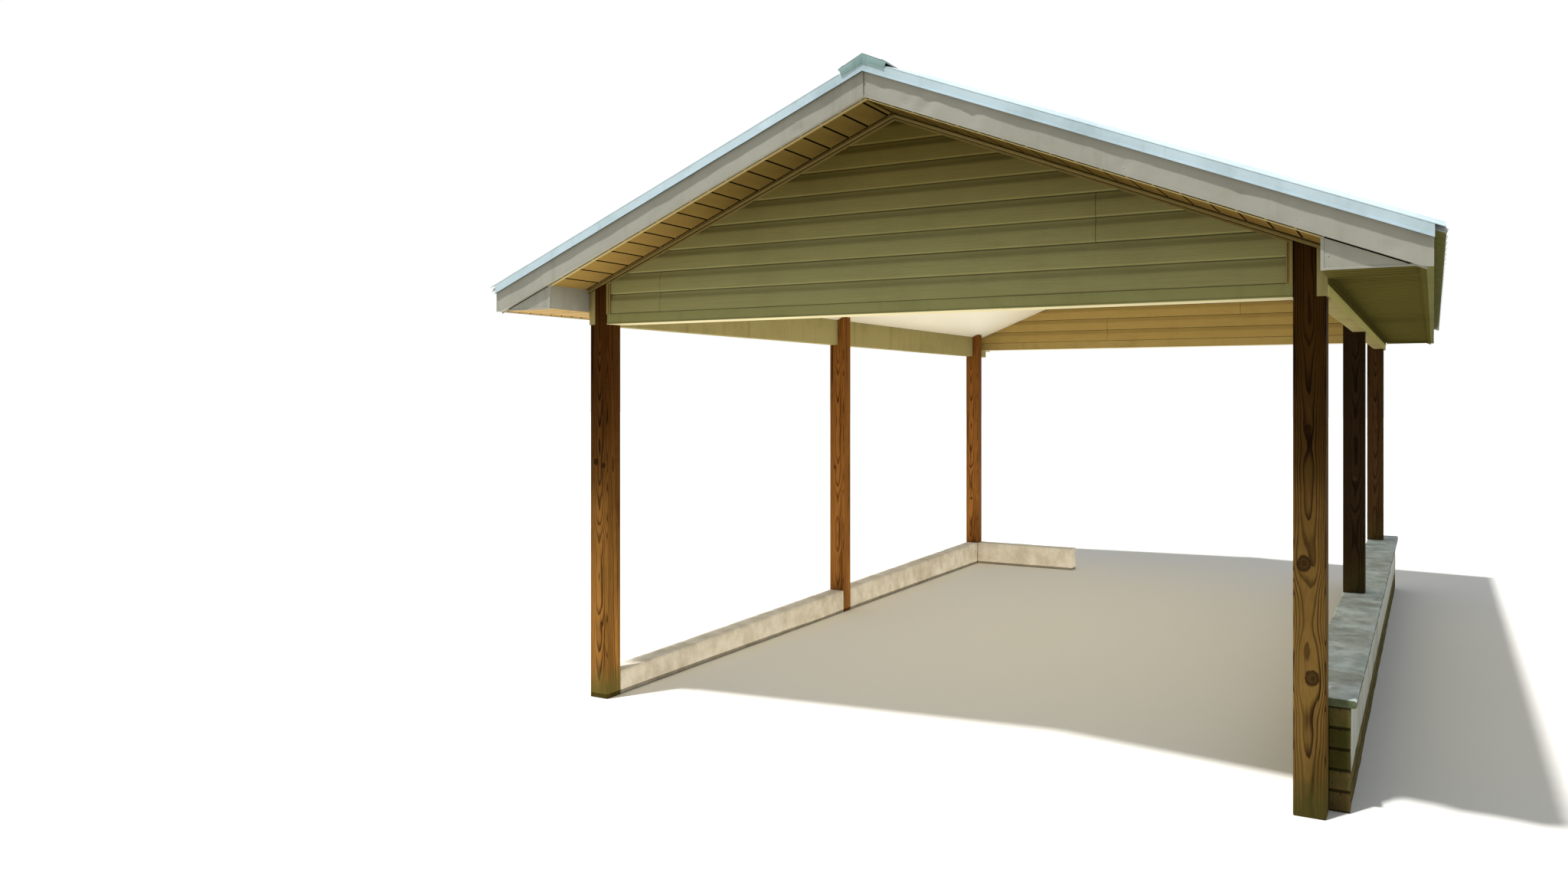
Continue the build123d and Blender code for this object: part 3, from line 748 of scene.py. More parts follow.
def add_floor():
    """Wide pale floor that keeps the shadow and throws back little light."""
    mat = bpy.data.materials.new("floor_paint")
    mat.use_nodes = True
    shader = shader_of(mat)
    feed(shader["Base Color"], mix(camera_only(mat.node_tree), (0.36, 0.34, 0.28, 1), (0.86, 0.86, 0.85, 1)))
    shader["Roughness"].default_value = 0.95
    deselect_all()
    bpy.ops.mesh.primitive_plane_add(size=160, location=(0, 20, -0.001))
    floor = bpy.context.object
    floor.name = "studio_floor"
    floor.data.materials.append(mat)


# Modelling helpers
def deselect_all():
    """Nothing is left selected."""
    for obj in list(bpy.context.selected_objects):
        obj.select_set(False)


def make_active(obj):
    """Select one object alone."""
    deselect_all()
    obj.select_set(True)
    bpy.context.view_layer.objects.active = obj


def settle(obj):
    """Put the object's place, turn and size into its mesh."""
    make_active(obj)
    bpy.ops.object.transform_apply(location=True, rotation=True, scale=True)
    return obj


def edit(obj):
    """Open the mesh for editing with all of it selected."""
    make_active(obj)
    bpy.ops.object.mode_set(mode="EDIT")
    bpy.ops.mesh.select_mode(type="VERT")
    bpy.ops.mesh.select_all(action="SELECT")


def close_edit():
    """Close the edit."""
    bpy.ops.object.mode_set(mode="OBJECT")


def face_out():
    """Turn all faces outwards and close the edit."""
    bpy.ops.mesh.select_all(action="SELECT")
    bpy.ops.mesh.normals_make_consistent(inside=False)
    close_edit()


def draw_out(step):
    """Extrude what is selected."""
    bpy.ops.mesh.extrude_region_move(TRANSFORM_OT_translate={"value": step})


def on_axis(axis, first, second, along):
    """Point from two outline values and a distance along an axis."""
    if axis == "x":
        return Vector((along, first, second))
    if axis == "y":
        return Vector((first, along, second))
    return Vector((first, second, along))


def draw_line(name, points, axis, start, closed):
    """Draw an outline corner by corner. The mesh is left open for editing."""
    deselect_all()
    bpy.ops.mesh.primitive_plane_add(size=0.01, location=on_axis(axis, *points[0], start))
    obj = bpy.context.object
    obj.name = name
    edit(obj)
    bpy.ops.mesh.merge(type="CENTER")
    path = list(points) + ([points[0]] if closed else [])
    for here, there in zip(path, path[1:]):
        draw_out(on_axis(axis, *there, 0) - on_axis(axis, *here, 0))
    bpy.ops.mesh.select_all(action="SELECT")
    bpy.ops.mesh.remove_doubles(threshold=0.00001)
    bpy.ops.mesh.select_all(action="SELECT")
    return obj


def outline_solid(name, points, axis, start, end):
    """Closed outline, filled and drawn out along an axis."""
    obj = draw_line(name, points, axis, start, closed=True)
    bpy.ops.mesh.edge_face_add()
    draw_out(on_axis(axis, 0, 0, end - start))
    face_out()
    return settle(obj)


def rectangle(low, high):
    """Corners of a rectangle between two of them."""
    return [(low[0], low[1]), (high[0], low[1]), (high[0], high[1]), (low[0], high[1])]


def block(name, low, high):
    """Block between two corners."""
    return outline_solid(name, rectangle(low, high), "z", low[2], high[2])


def on_roof(peak, *places):
    """Points at some distances from the middle, on a plane that follows the roof."""
    return [(x, roof_z(peak, x)) for x in places]


def band(name, x0, x1, low_peak, high_peak, y0, y1):
    """Right-hand board that follows the roof slope, with plumb ends."""
    return outline_solid(name, on_roof(low_peak, x0, x1) + on_roof(high_peak, x1, x0), "y", y0, y1)


def modify(obj, kind, **settings):
    """Apply a modifier at once."""
    make_active(obj)
    modifier = obj.modifiers.new(kind.lower(), kind)
    for key, value in settings.items():
        setattr(modifier, key, value)
    bpy.ops.object.modifier_apply(modifier=modifier.name)
    return obj


def smooth(obj, degrees=35):
    """Smooth what is nearly flat."""
    make_active(obj)
    bpy.ops.object.shade_smooth_by_angle(angle=math.radians(degrees))
    return obj


def soften(obj, width, segments=2):
    """Round the sharp edges and smooth what is nearly flat."""
    sharp = math.radians(35)
    modify(obj, "BEVEL", width=width, segments=segments, limit_method="ANGLE", angle_limit=sharp)
    return smooth(obj)


def repeat(obj, count, step, merge=False):
    """Row of copies at a constant step, in one mesh."""
    spacing = {"use_relative_offset": False, "use_constant_offset": True, "constant_offset_displace": step}
    return modify(obj, "ARRAY", count=count, use_merge_vertices=merge, merge_threshold=0.0001, **spacing)


def ripple(obj, depth, size, axis):
    """Uneven waves pushed along one axis."""
    texture = bpy.data.textures.new(obj.name + "_waves", "CLOUDS")
    texture.noise_scale = size
    modify(obj, "DISPLACE", texture=texture, direction=axis, strength=depth, mid_level=0.5)
    bpy.data.textures.remove(texture)
    return smooth(obj)


def divide(obj, direction, cuts):
    """Even cuts across all edges that run in one direction."""
    edit(obj)
    bpy.ops.mesh.select_mode(type="EDGE")
    bpy.ops.mesh.select_all(action="DESELECT")
    close_edit()
    way = Vector(direction).normalized()
    spots = obj.data.vertices
    for edge in obj.data.edges:
        run = (spots[edge.vertices[1]].co - spots[edge.vertices[0]].co).normalized()
        edge.select = abs(run.dot(way)) > 0.9995
    bpy.ops.object.mode_set(mode="EDIT")
    bpy.ops.mesh.subdivide(number_cuts=cuts)
    bpy.ops.mesh.select_mode(type="VERT")
    close_edit()
    return obj


def dent(obj, places, reach, depth):
    """Push the mesh softly along Y round each place."""
    for place in places:
        edit(obj)
        bpy.ops.mesh.select_all(action="DESELECT")
        close_edit()
        spot = Vector(place)
        nearest = min(obj.data.vertices, key=lambda vertex: (vertex.co - spot).length)
        nearest.select = True
        bpy.ops.object.mode_set(mode="EDIT")
        falloff = {"proportional_edit_falloff": "SHARP", "proportional_size": reach}
        bpy.ops.transform.translate(value=(0, depth, 0), use_proportional_edit=True, **falloff)
        close_edit()
    return obj


def join(name, pieces):
    """Several pieces made one object."""
    make_active(pieces[0])
    for piece in pieces[1:]:
        piece.select_set(True)
    if len(pieces) > 1:
        bpy.ops.object.join()
    pieces[0].name = name
    return pieces[0]


def mirrored(obj, name, x_side, y_side):
    """Copy turned over to another side of the middle, with its faces outwards again."""
    make_active(obj)
    bpy.ops.object.duplicate()
    twin = bpy.context.object
    twin.name = name
    twin.scale = (x_side, y_side, 1)
    settle(twin)
    edit(twin)
    face_out()
    return twin


def turned_over(obj, x_side, y_side):
    """The same piece on another side of the middle."""
    name = obj.name
    twin = mirrored(obj, name, x_side, y_side)
    bpy.data.objects.remove(obj)
    twin.name = name
    return twin


def on_side(obj, side):
    """A right-hand piece on the side that it is for."""
    return obj if side == "right" else turned_over(obj, -1, 1)


def cut_away(obj, point, normal):
    """Cut by a plane, drop the side that its normal points to and close the cut."""
    edit(obj)
    bpy.ops.mesh.bisect(plane_co=point, plane_no=normal, use_fill=True, clear_outer=True)
    close_edit()
    return obj


def cut_under_roof(obj, peak):
    """Keep what lies below both roof planes that meet at peak."""
    for side in (1, -1):
        cut_away(obj, (0, 0, peak), (side * math.sin(ROOF_ANGLE), 0, math.cos(ROOF_ANGLE)))
    return obj


def node_copy(node, name):
    """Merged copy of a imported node's mesh."""
    obj = new_object(name, NODES[node].data.copy())
    obj.data.materials.clear()
    edit(obj)
    bpy.ops.mesh.remove_doubles(threshold=0.00005)
    bpy.ops.mesh.dissolve_limited(angle_limit=math.radians(0.5))
    close_edit()
    return obj


def place_piece(obj, material_name, slot, *nodes):
    """Give a finished piece its material and its place in the model. Its slot is not used."""
    obj.data.materials.clear()
    obj.data.materials.append(MATERIALS[material_name])
    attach(obj, "root")
    if nodes:
        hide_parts(*nodes)


def spread_corners(piece, name_stem, mat, slot, node_stem=None, finish=None, sides=SIDES):
    """Set a front right piece at all four corners, each with its own copy."""
    for end in ENDS:
        for side in sides:
            corner = "_".join((end, side))
            twin = mirrored(piece, name_stem + "_" + corner, SIGN[side], SIGN[end])
            if finish:
                finish(twin, corner)
            nodes = [node_stem + "_" + corner] if node_stem else []
            place_piece(twin, mat, slot, *nodes)
    bpy.data.objects.remove(piece)


def place_pair(piece, stem, mat, slot, node_stem=None):
    """Set a right-hand piece, and its mirror image on the left."""
    twin = mirrored(piece, stem + "_left", -1, 1)
    piece.name = stem + "_right"
    for side, obj in (("right", piece), ("left", twin)):
        nodes = [node_stem + "_" + side] if node_stem else []
        place_piece(obj, mat, slot, *nodes)


def dress_node(node, mat):
    """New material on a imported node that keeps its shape."""
    data = NODES[node].data
    data.materials.clear()
    data.materials.append(mat)


# Fixings
def nail_head(place, normal):
    """Domed head of a trim nail, seated on a face."""
    radius = 0.0042
    flatness = 0.45
    deselect_all()
    bpy.ops.mesh.primitive_uv_sphere_add(segments=10, ring_count=6, radius=radius, location=place)
    head = bpy.context.object
    head.scale = [flatness if part else 1.0 for part in normal]
    settle(head)
    bpy.ops.object.shade_smooth()
    return head


def nail_row(count, x, first, step, z):
    """Trim nails one after another along Y, on a face that looks sideways."""
    return [nail_head((x, first + index * step, z), RIGHT) for index in range(count)]


def roof_screw():
    """Hexagon screw with a sealing washer, standing on the ridge at the origin."""
    parts = []
    for corners, radius, depth, z in ((12, 0.0085, 0.0024, 0.0008), (6, 0.0052, 0.0055, 0.0040)):
        deselect_all()
        bpy.ops.mesh.primitive_cylinder_add(vertices=corners, radius=radius, depth=depth, location=(0, 0, z))
        parts.append(soften(bpy.context.object, width=0.0008, segments=1))
    return settle(join("roof_screw", parts))


# Posts: knots as place and size, light and dark wood, place of the pith, tilt of the grain, amount of moss
# and of darkening towards the top
AMBER = ((160, 106, 50), (78, 43, 15))
LEFT_KNOTS = ((-2.105, -3.64, 1.52, 0.015), (-2.045, -3.64, 1.50, 0.013), (-2.055, -3.64, 0.48, 0.011))
RIGHT_KNOTS = ((2.060, -3.64, 1.171, 0.028), (2.095, -3.64, 0.645, 0.027), (2.078, -3.64, 1.80, 0.011))
POST_LOOKS = {
    "post_front_left": (LEFT_KNOTS, (160, 114, 55), (58, 32, 12), (0.005, 0.030), 0.026, 1.0),
    "post_front_right": (RIGHT_KNOTS, (140, 110, 58), (48, 31, 13), (-0.004, 0.020), 0.014, 1.0),
    "post_mid_left": (((-2.10, -0.27, 1.3, 0.012),), *AMBER, (0.01, 0.03), 0.014, 0.3),
    # Painted shade: the mid right post is the same pine, its light and dark wood made much darker as if in
    # deep shade.
    "post_mid_right": (((2.09, -0.27, 1.35, 0.014),), (54, 39, 22), (22, 14, 8), (0.01, 0.04), 0.014, 0.3),
    "post_back_left": (((-2.09, 3.187, 0.75, 0.012),), *AMBER, (-0.01, 0.05), 0.012, 0.3),
    "post_back_right": (((2.09, 3.187, 1.6, 0.014),), (84, 60, 34), (38, 24, 11), (0.0, 0.03), 0.014, 0.3),
}


def make_posts():
    """Six posts with eased edges, each in its own piece of pine."""
    for node, look in POST_LOOKS.items():
        MATERIALS[node] = post_wood(node, *look)
        place_piece(soften(node_copy(node, node + "_timber"), width=0.0015), node, "post_wood", node)


# Gable walls
def lap_panel(x0, x1, z0, face, core):
    """Double course of clapboard from end to end, as thick as half the wall."""
    inward = 1 if core > face else -1
    points = []
    for course in range(2):
        for depth, height in LAP_PROFILE:
            points.append((face + inward * depth, z0 + course * LAP + height))
    points += [(core, z0 + 2 * LAP), (core, z0)]
    return outline_solid("lap_panel", points, "x", x0, x1)


def lap_wall(half_width, z0, face, core, seams):
    """One face of a gable wall: rows of lapped panels with their seams, cut to the roof."""
    overlap = 0.0010 if face < core else -0.0010
    slit = 0.003
    panels = []
    row = 0
    while z0 + 2 * LAP * row < SOFFIT_PEAK:
        ends = [-half_width, *seams.get(row, ()), half_width]
        for index, (x0, x1) in enumerate(zip(ends, ends[1:])):
            second = index % 2
            panel = lap_panel(x0 + slit * second, x1, z0 + 2 * LAP * row, face - overlap * second, core)
            panels.append(cut_under_roof(panel, SOFFIT_PEAK))
        row += 1
    return join("lap_wall", panels)


def make_gable_walls():
    """Clapboard on both faces of both gables. Seams are given by row, outside and inside."""
    seams = {
        "front": (Y_FRONT, {0: (-1.60,), 1: (1.10,)}, {0: (0.7,), 2: (-0.4,)}),
        "back": (-Y_FRONT, {0: (1.35,), 1: (-0.9,)}, {0: (-0.6,), 1: (0.8,)}),
    }
    for end, (outer, *rows) in seams.items():
        corner = HEADERS[end][1]
        inward = -math.copysign(POST, outer)
        faces = [
            lap_wall(corner.x, corner.z, face, outer + inward / 2, row)
            for face, row in zip((outer, outer + inward), rows)
        ]
        wall = smooth(join(end + "_clapboards", faces))
        place_piece(wall, end + "_siding", "siding", end + "_gable_siding")


def make_gable_channels():
    """Channels that hold the clapboards: along the rakes and down the ends."""
    back = Y_FRONT - 0.002
    for end in ENDS:
        corner = HEADERS[end][1]
        # Half width, drops of the low and the high edge, how far it stands out, back face
        rakes = (
            (corner.x, 0.036, 0.0, 0.003, Y_FRONT),
            (corner.x, 0.0362, 0.0250, 0.010, back),
            (corner.x, 0.0362, 0.0330, 0.0118, back),
            (BEAM_HIGH.x, 0.0220, 0.0045, CHANNEL_PROUD, back),
        )
        parts = []
        for x1, low, high, proud, y1 in rakes:
            strip = band("strip", 0.0, x1, SOFFIT_PEAK - low, SOFFIT_PEAK - high, Y_FRONT - proud, y1)
            parts += [strip, mirrored(strip, "strip", -1, 1)]
        # Distances of both edges from the end, how far it stands out
        for x0, x1, proud in ((0.028, 0.0, 0.004), (0.028, 0.023, 0.0115), (0.012, 0.0, 0.0115)):
            low = (corner.x - x0, Y_FRONT - proud, corner.z)
            leg = cut_under_roof(block("leg", low, (corner.x - x1, Y_FRONT, SOFFIT_PEAK)), SOFFIT_PEAK)
            parts += [leg, mirrored(leg, "leg", -1, 1)]
        channel = soften(join(end + "_channels", parts), width=0.0008)
        if end == "back":
            channel = turned_over(channel, 1, -1)
        place_piece(channel, "channel", "siding_trim", end + "_gable_trim")


# Wrapped beams and headers
def make_headers():
    """Coil-wrapped boards under the gables: a hem at the foot and a lapped joint."""
    hem = 0.0045
    lip = 0.0065
    lap = 0.0009
    for end, joint in (("front", 0.62), ("back", -0.55)):
        low, high = HEADERS[end]
        near, far = low.y + hem, high.y - hem
        outline = [
            (near - hem, low.z),
            (far + hem, low.z),
            (far + hem, low.z + lip * 0.8),
            (far, low.z + lip * 1.5),
            (far, high.z),
            (near, high.z),
            (near, low.z + lip * 1.5),
            (near - hem, low.z + lip * 0.8),
        ]
        middle = (near + far) / 2
        sleeve = [(y + math.copysign(lap, y - middle), z - (lap if z == low.z else 0)) for y, z in outline]
        board = soften(outline_solid("board", outline, "x", low.x, high.x), width=0.0012)
        over = soften(outline_solid("sleeve", sleeve, "x", joint, high.x), width=0.0012)
        piece = divide(join(end + "_header_wrap", [board, over]), RIGHT, cuts=12)
        ripple(piece, depth=0.0022, size=0.5, axis="Y")
        place_piece(piece, end + "_header", "beam_wrap", end + "_header")


def make_beams():
    """Coil-wrapped side beams: lapped joints and trim nails."""
    thick = 0.0010
    sunk = 0.002
    inner_plies = 0.079
    sleeves = ((-3.49, -1.62), (1.38, 3.10))
    x0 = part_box("post_mid_right")[1].x - inner_plies
    x1 = BEAM_HIGH.x
    z0 = BEAM_LOW.z
    top = roof_z(SOFFIT_PEAK, BEAM_LOW.x) - 0.04
    outline = [
        (x0 - thick, z0 - thick),
        (x1 + thick, z0 - thick),
        (x1 + thick, EAVE_Z),
        (x1 - sunk, EAVE_Z),
        (x1 - sunk, z0 + sunk),
        (x0 + sunk, z0 + sunk),
        (x0 + sunk, top),
        (x0 - thick, top),
    ]
    for side in SIDES:
        name = "beam_wrap_" + side
        parts = [soften(node_copy("side_beam_" + side, name), width=0.0025)]
        for y0, y1 in sleeves:
            parts.append(on_side(soften(outline_solid("sleeve", outline, "y", y0, y1), width=0.0006), side))
        parts += nail_row(9, SIGN[side] * (x0 - 0.001), first=-3.3, step=0.78, z=z0 + 0.19)
        place_piece(join(name, parts), "beam_wrap", "beam_wrap", "side_beam_" + side)


# Overhangs
def groove_edge(start, end, first, pitch, width, depth, level=0.0):
    """Distances and heights of a lower edge with V grooves."""
    points = [(start, level)]
    place = first
    while place < end - width:
        points += [(place - width / 2, level), (place - width / 3, level + depth)]
        points += [(place + width / 3, level + depth), (place + width / 2, level)]
        place += pitch
    points.append((end, level))
    return points


def make_rake_soffits():
    """Grooved vinyl under the rake overhangs, with its channel and a gap at the wall."""
    top = SOFFIT_PEAK + 0.013
    half = BEAM_HIGH.x
    gap_end = Y_FRONT - CHANNEL_PROUD
    gap_start = gap_end - SOFFIT_GAP
    line = groove_edge(0.0, half, RAKE_FIRST_GROOVE, RAKE_GROOVES, width=0.0095, depth=0.011)
    edge = [(x, roof_z(SOFFIT_PEAK, x) + rise) for x, rise in line]
    edge[:1] = [(0.0, SOFFIT_PEAK + 0.007), *on_roof(SOFFIT_PEAK, 0.005)]
    parts = [
        outline_solid("rake_soffit_base", edge + on_roof(top, half, 0.0), "y", Y_BOARD, gap_start),
        band("deep", 0.0, half, SOFFIT_PEAK + 0.0110, top, gap_start - 0.001, Y_FRONT),
        band("edge", 0.0, half, SOFFIT_PEAK, SOFFIT_PEAK + 0.0115, gap_end, Y_FRONT),
        band("strip", 0.0, half, SOFFIT_PEAK - 0.0030, SOFFIT_PEAK + 0.012, Y_BOARD, Y_BOARD + RAKE_EDGE),
    ]
    piece = soften(join("rake_soffit_base", parts), width=0.0007, segments=1)
    spread_corners(piece, "soffit_panel", "soffit", "soffit", "rake_soffit")


# Creases and dents of the front right fascia: reach, depth, places as X and Z
FASCIA_DENTS = (
    (0.060, 0.006, ((0.120, 3.560), (0.247, 3.458))),
    (0.050, 0.006, ((0.369, 3.449), (0.355, 3.430), (0.341, 3.412), (0.327, 3.394))),
    (0.045, 0.006, ((0.578, 3.375), (0.593, 3.341), (0.609, 3.307))),
    (0.060, -0.003, ((0.290, 3.440), (0.430, 3.400), (0.660, 3.300))),
    (0.050, 0.004, ((1.34, 3.02), (1.83, 2.85))),
    (0.060, 0.005, ((2.44, 2.56),)),
)


def finish_fascia(board, corner):
    """Waves of the wrapped board, and the creases that the front right one has."""
    ripple(board, depth=0.0060, size=0.30, axis="Y")
    if corner == "front_right":
        for reach, depth, places in FASCIA_DENTS:
            dent(board, [(x, Y_RAKE, z) for x, z in places], reach, depth)
    smooth(board, degrees=40)


def make_rake_fascias():
    """Wrapped rake boards: rippled sheet, folded ends, a hem below and trim nails."""
    low, high = SOFFIT_PEAK + FASCIA_RISE, METAL_PEAK
    hem_drop = 0.0015
    hem_proud = 0.0022
    first_nail, nail_step, nail_rise = 0.24, 0.365, 0.034
    foot_z = FASCIA_FOOT - hem_drop
    foot_low = ((low - FASCIA_FOOT) / SLOPE, Y_RAKE - 0.0025, foot_z - 0.0003)
    fold_low = (FASCIA_X - 0.014, Y_RAKE - 0.0016, foot_z + 0.001)
    fold_high = (FASCIA_X + 0.0012, Y_BOARD - 0.0005, roof_z(high, FASCIA_X))
    for side, start in (("right", 0.0125), ("left", 0.0015)):
        face = band("face", start, FASCIA_X, low, high, Y_RAKE, Y_BOARD)
        divide(face, DOWN_SLOPE, cuts=159)
        divide(face, UP, cuts=8)
        cut_away(face, (0, 0, FASCIA_FOOT), DOWN)
        hem = band("hem", 0.0012, FASCIA_X, low - hem_drop, low + 0.007, Y_RAKE - hem_proud, Y_BOARD + 0.004)
        divide(hem, DOWN_SLOPE, cuts=79)
        cut_away(hem, (0, 0, foot_z), DOWN)
        parts = [
            face,
            hem,
            block("foot", foot_low, (FASCIA_X, Y_BOARD + 0.0036, foot_z + 0.0085)),
            block("fold", fold_low, fold_high),
        ]
        if side == "right":
            parts.append(band("mitre", 0.0005, start + 0.002, low, high, Y_RAKE + 0.005, Y_BOARD - 0.001))
        nails = []
        for index in range(7):
            x = first_nail + index * nail_step
            nails.append((x, Y_RAKE - 0.0005, max(roof_z(low, x) + nail_rise, FASCIA_FOOT + 0.042)))
            parts.append(nail_head(nails[-1], BACK))
        piece = dent(join("rake_fascia_base", parts), nails, reach=0.034, depth=0.0035)
        spread_corners(piece, "fascia_wrap", "fascia", "fascia_wrap", "rake_fascia", finish_fascia, (side,))


def make_eave_returns():
    """Boxed corners: sheet front with folded edges, a lip under the fascia, a nail."""
    body = cut_away(node_copy("eave_return_front_right", "return_base"), (0, 0, EAVE_Z), DOWN)
    soften(body, width=0.0012)
    x0, x1 = RETURN_LOW.x, RETURN_HIGH.x
    y = Y_BOARD
    corner_high = (x0 + 0.013, y + 0.012, roof_z(SOFFIT_PEAK, x0))
    hem_high = (x1, y + 0.0045, EAVE_Z + 0.006)
    parts = [
        body,
        block("corner", (x0 - 0.0012, y - 0.0022, EAVE_Z - 0.004), corner_high),
        block("hem", (x0, y - 0.0018, EAVE_Z - 0.0036), hem_high),
        nail_head((x0 + 0.030, y - 0.0008, EAVE_Z + 0.058), BACK),
        band("lip", x0, FASCIA_X - BOARD, SOFFIT_PEAK - 0.002, SOFFIT_PEAK + 0.014, y, y + 0.004),
    ]
    for part in parts[1:3]:
        soften(part, width=0.0008, segments=1)
    spread_corners(join("return_base", parts), "return_wrap", "fascia", "fascia_wrap", "eave_return")


def make_return_bottoms():
    """Grooved sheet under each boxed corner, with the seam behind it."""
    low, high = RETURN_LOW, RETURN_HIGH
    x0 = low.x + 0.001
    y0 = low.y + 0.005
    level = EAVE_Z - 0.0025
    edge = groove_edge(y0, high.y, low.y + 0.07, EAVE_GROOVES, width=0.009, depth=0.0024, level=level)
    edge += [(high.y, EAVE_Z + 0.002), (y0, EAVE_Z + 0.002)]
    sheet = outline_solid("return_bottom", edge, "x", x0, high.x)
    seam = block("seam", (x0, high.y - 0.003, EAVE_Z - 0.0045), (high.x, high.y + 0.014, EAVE_Z))
    piece = soften(join("return_bottom", [sheet, seam]), width=0.0006, segments=1)
    spread_corners(piece, "return_bottom", "eave_soffit", "soffit")


def make_eaves():
    """Long eave boards on both sides: a hem below, lapped joints and trim nails."""
    y0, y1 = Y_BOARD, -Y_BOARD
    x0, x1 = FASCIA_X - BOARD, FASCIA_X
    z0 = FASCIA_FOOT
    top = roof_z(METAL_PEAK, x1)
    lap_starts, lap_length = (-1.05, 2.02), 0.9
    for side in SIDES:
        outline = [(x0, z0), (x1, z0), (x1, top), (x0, roof_z(METAL_PEAK, x0))]
        board = divide(outline_solid("eave_board", outline, "y", y0, y1), BACK, cuts=99)
        divide(board, UP, cuts=4)
        hem = block("hem", (x0 - 0.002, y0 + 0.0004, z0 - 0.0015), (x1 + 0.0022, y1 - 0.0004, z0 + 0.007))
        parts = [board, divide(hem, BACK, cuts=99)]
        for place in lap_starts:
            lap = rectangle((x1 - 0.002, z0 + 0.006), (x1 + 0.0012, top))
            strip = outline_solid("lap", lap, "y", place, place + lap_length)
            parts.append(divide(strip, BACK, cuts=19))
        parts += nail_row(13, x1 + 0.0006, first=y0 + 0.18, step=0.64, z=z0 + 0.05)
        piece = ripple(on_side(join("eave_board_" + side, parts), side), depth=0.0045, size=0.36, axis="X")
        place_piece(piece, "eave_board", "fascia_wrap", "eave_fascia_" + side)


def make_eave_soffits():
    """Grooved level soffits with a channel on the beam and one on the fascia."""
    low, high = (corner + Vector((0, 0, EAVE_LIFT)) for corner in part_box("eave_soffit_right"))
    first = low.y + EAVE_GROOVES / 2
    edge = groove_edge(low.y, high.y, first, EAVE_GROOVES, width=0.007, depth=0.0045, level=low.z)
    edge += [(high.y, high.z), (low.y, high.z)]
    leg = 0.0028
    long_y = Y_BOARD + 0.006
    ledge_x = high.x - EAVE_LEDGE
    top = low.z + 0.001
    # Where a strip starts along Y, low and high corner of its section
    shapes = [
        (low.y, (low.x, low.z - leg), (low.x + EAVE_CHANNEL, top)),
        (low.y + 0.0004, (low.x + 0.0245, low.z - leg - 0.002), (low.x + 0.0284, top)),
        (low.y - 0.0004, (low.x, low.z - 0.030), (low.x + leg, top)),
        (low.y, (low.x, low.z - 0.0305), (low.x + 0.0055, low.z - 0.025)),
        (long_y, (ledge_x, low.z - leg - 0.003), (high.x, top)),
        (long_y + 0.0004, (ledge_x - 0.0004, low.z - leg - 0.0045), (ledge_x + 0.0035, top)),
    ]
    parts = [outline_solid("eave_soffit_base", edge, "x", low.x, high.x)]
    for y0, foot, head in shapes:
        parts.append(outline_solid("strip", rectangle(foot, head), "y", y0, -y0))
    piece = soften(join("eave_soffit_panel_right", parts), width=0.0006, segments=1)
    place_pair(piece, "eave_soffit_panel", "eave_soffit", "soffit", "eave_soffit")


# Metal roof
def lay_on_slope(obj, peak=METAL_PEAK):
    """Turn a flat right-hand piece down the slope and lift it to the ridge."""
    obj.rotation_euler = (0, ROOF_ANGLE, 0)
    obj.location = (0, 0, peak)
    return settle(obj)


def rib_line():
    """Section of one roof sheet pitch: a rib and two low stiffening beads."""
    half_base, half_top = 0.023, 0.012
    start = FIRST_RIB - 0.030
    top = SHEET + RIB_HEIGHT
    line = [
        (start, SHEET),
        (FIRST_RIB - half_base, SHEET),
        (FIRST_RIB - half_top, top),
        (FIRST_RIB + half_top, top),
        (FIRST_RIB + half_base, SHEET),
    ]
    for share in (0.36, 0.64):
        middle = FIRST_RIB + RIB_PITCH * share
        for away, rise in ((-0.012, 0), (-0.006, 0.003), (0.006, 0.003), (0.012, 0)):
            line.append((middle + away, SHEET + rise))
    return line + [(start + RIB_PITCH, SHEET)]


def make_roof_sheets():
    """Thin ribbed sheets, one pitch modelled and repeated."""
    gauge = 0.0016
    sheet = draw_line("roof_sheet_right", rib_line(), "x", start=0.0, closed=False)
    draw_out((SHEET_END / math.cos(ROOF_ANGLE), 0, 0))
    close_edit()
    repeat(settle(sheet), RIB_GAPS + 1, (0, RIB_PITCH, 0), merge=True)
    edit(sheet)
    bpy.ops.mesh.bisect(plane_co=(0, -Y_RAKE, 0), plane_no=BACK, clear_outer=True)
    face_out()
    if sum(face.normal.z for face in sheet.data.polygons) < 0:
        edit(sheet)
        bpy.ops.mesh.flip_normals()
        close_edit()
    lay_on_slope(modify(sheet, "SOLIDIFY", thickness=gauge, offset=-1))
    cut_away(sheet, (0.005, 0, 0), LEFT)
    place_pair(sheet, "roof_sheet", "roof", "roof_metal", "roof_panel")


def make_roof_screws():
    """Rows of screws beside the ribs, over the purlin lines."""
    rows = []
    beside_rib = 0.036
    for distance in (0.24, 0.80, 1.40, 2.00, 2.60):
        screw = roof_screw()
        screw.location = (distance, FIRST_RIB + beside_rib, SHEET)
        rows.append(repeat(settle(screw), RIB_GAPS, (0, RIB_PITCH, 0)))
    place_pair(lay_on_slope(join("roof_screws_right", rows)), "roof_screws", "screw", "roof_metal")


def cap_outline(outer, gauge, half):
    """Section of the bent ridge cap: a stiffening bead and a hem on each side."""
    hem = 0.009
    edge_z = cap_z(outer, half)
    bead = ((0.030, 0.0), (0.025, 0.003), (0.019, 0.003), (0.014, 0.0), (0.0, 0.0))
    right = [(half - inward, cap_z(outer, half - inward) + rise) for inward, rise in bead]
    right += [(half + 0.001, edge_z - hem), (half - 0.002, edge_z - hem), (half - 0.002, edge_z - gauge)]
    left = [(-x, z) for x, z in reversed(right)]
    return [(0.0, outer), *right, (0.0, outer - gauge), *left]


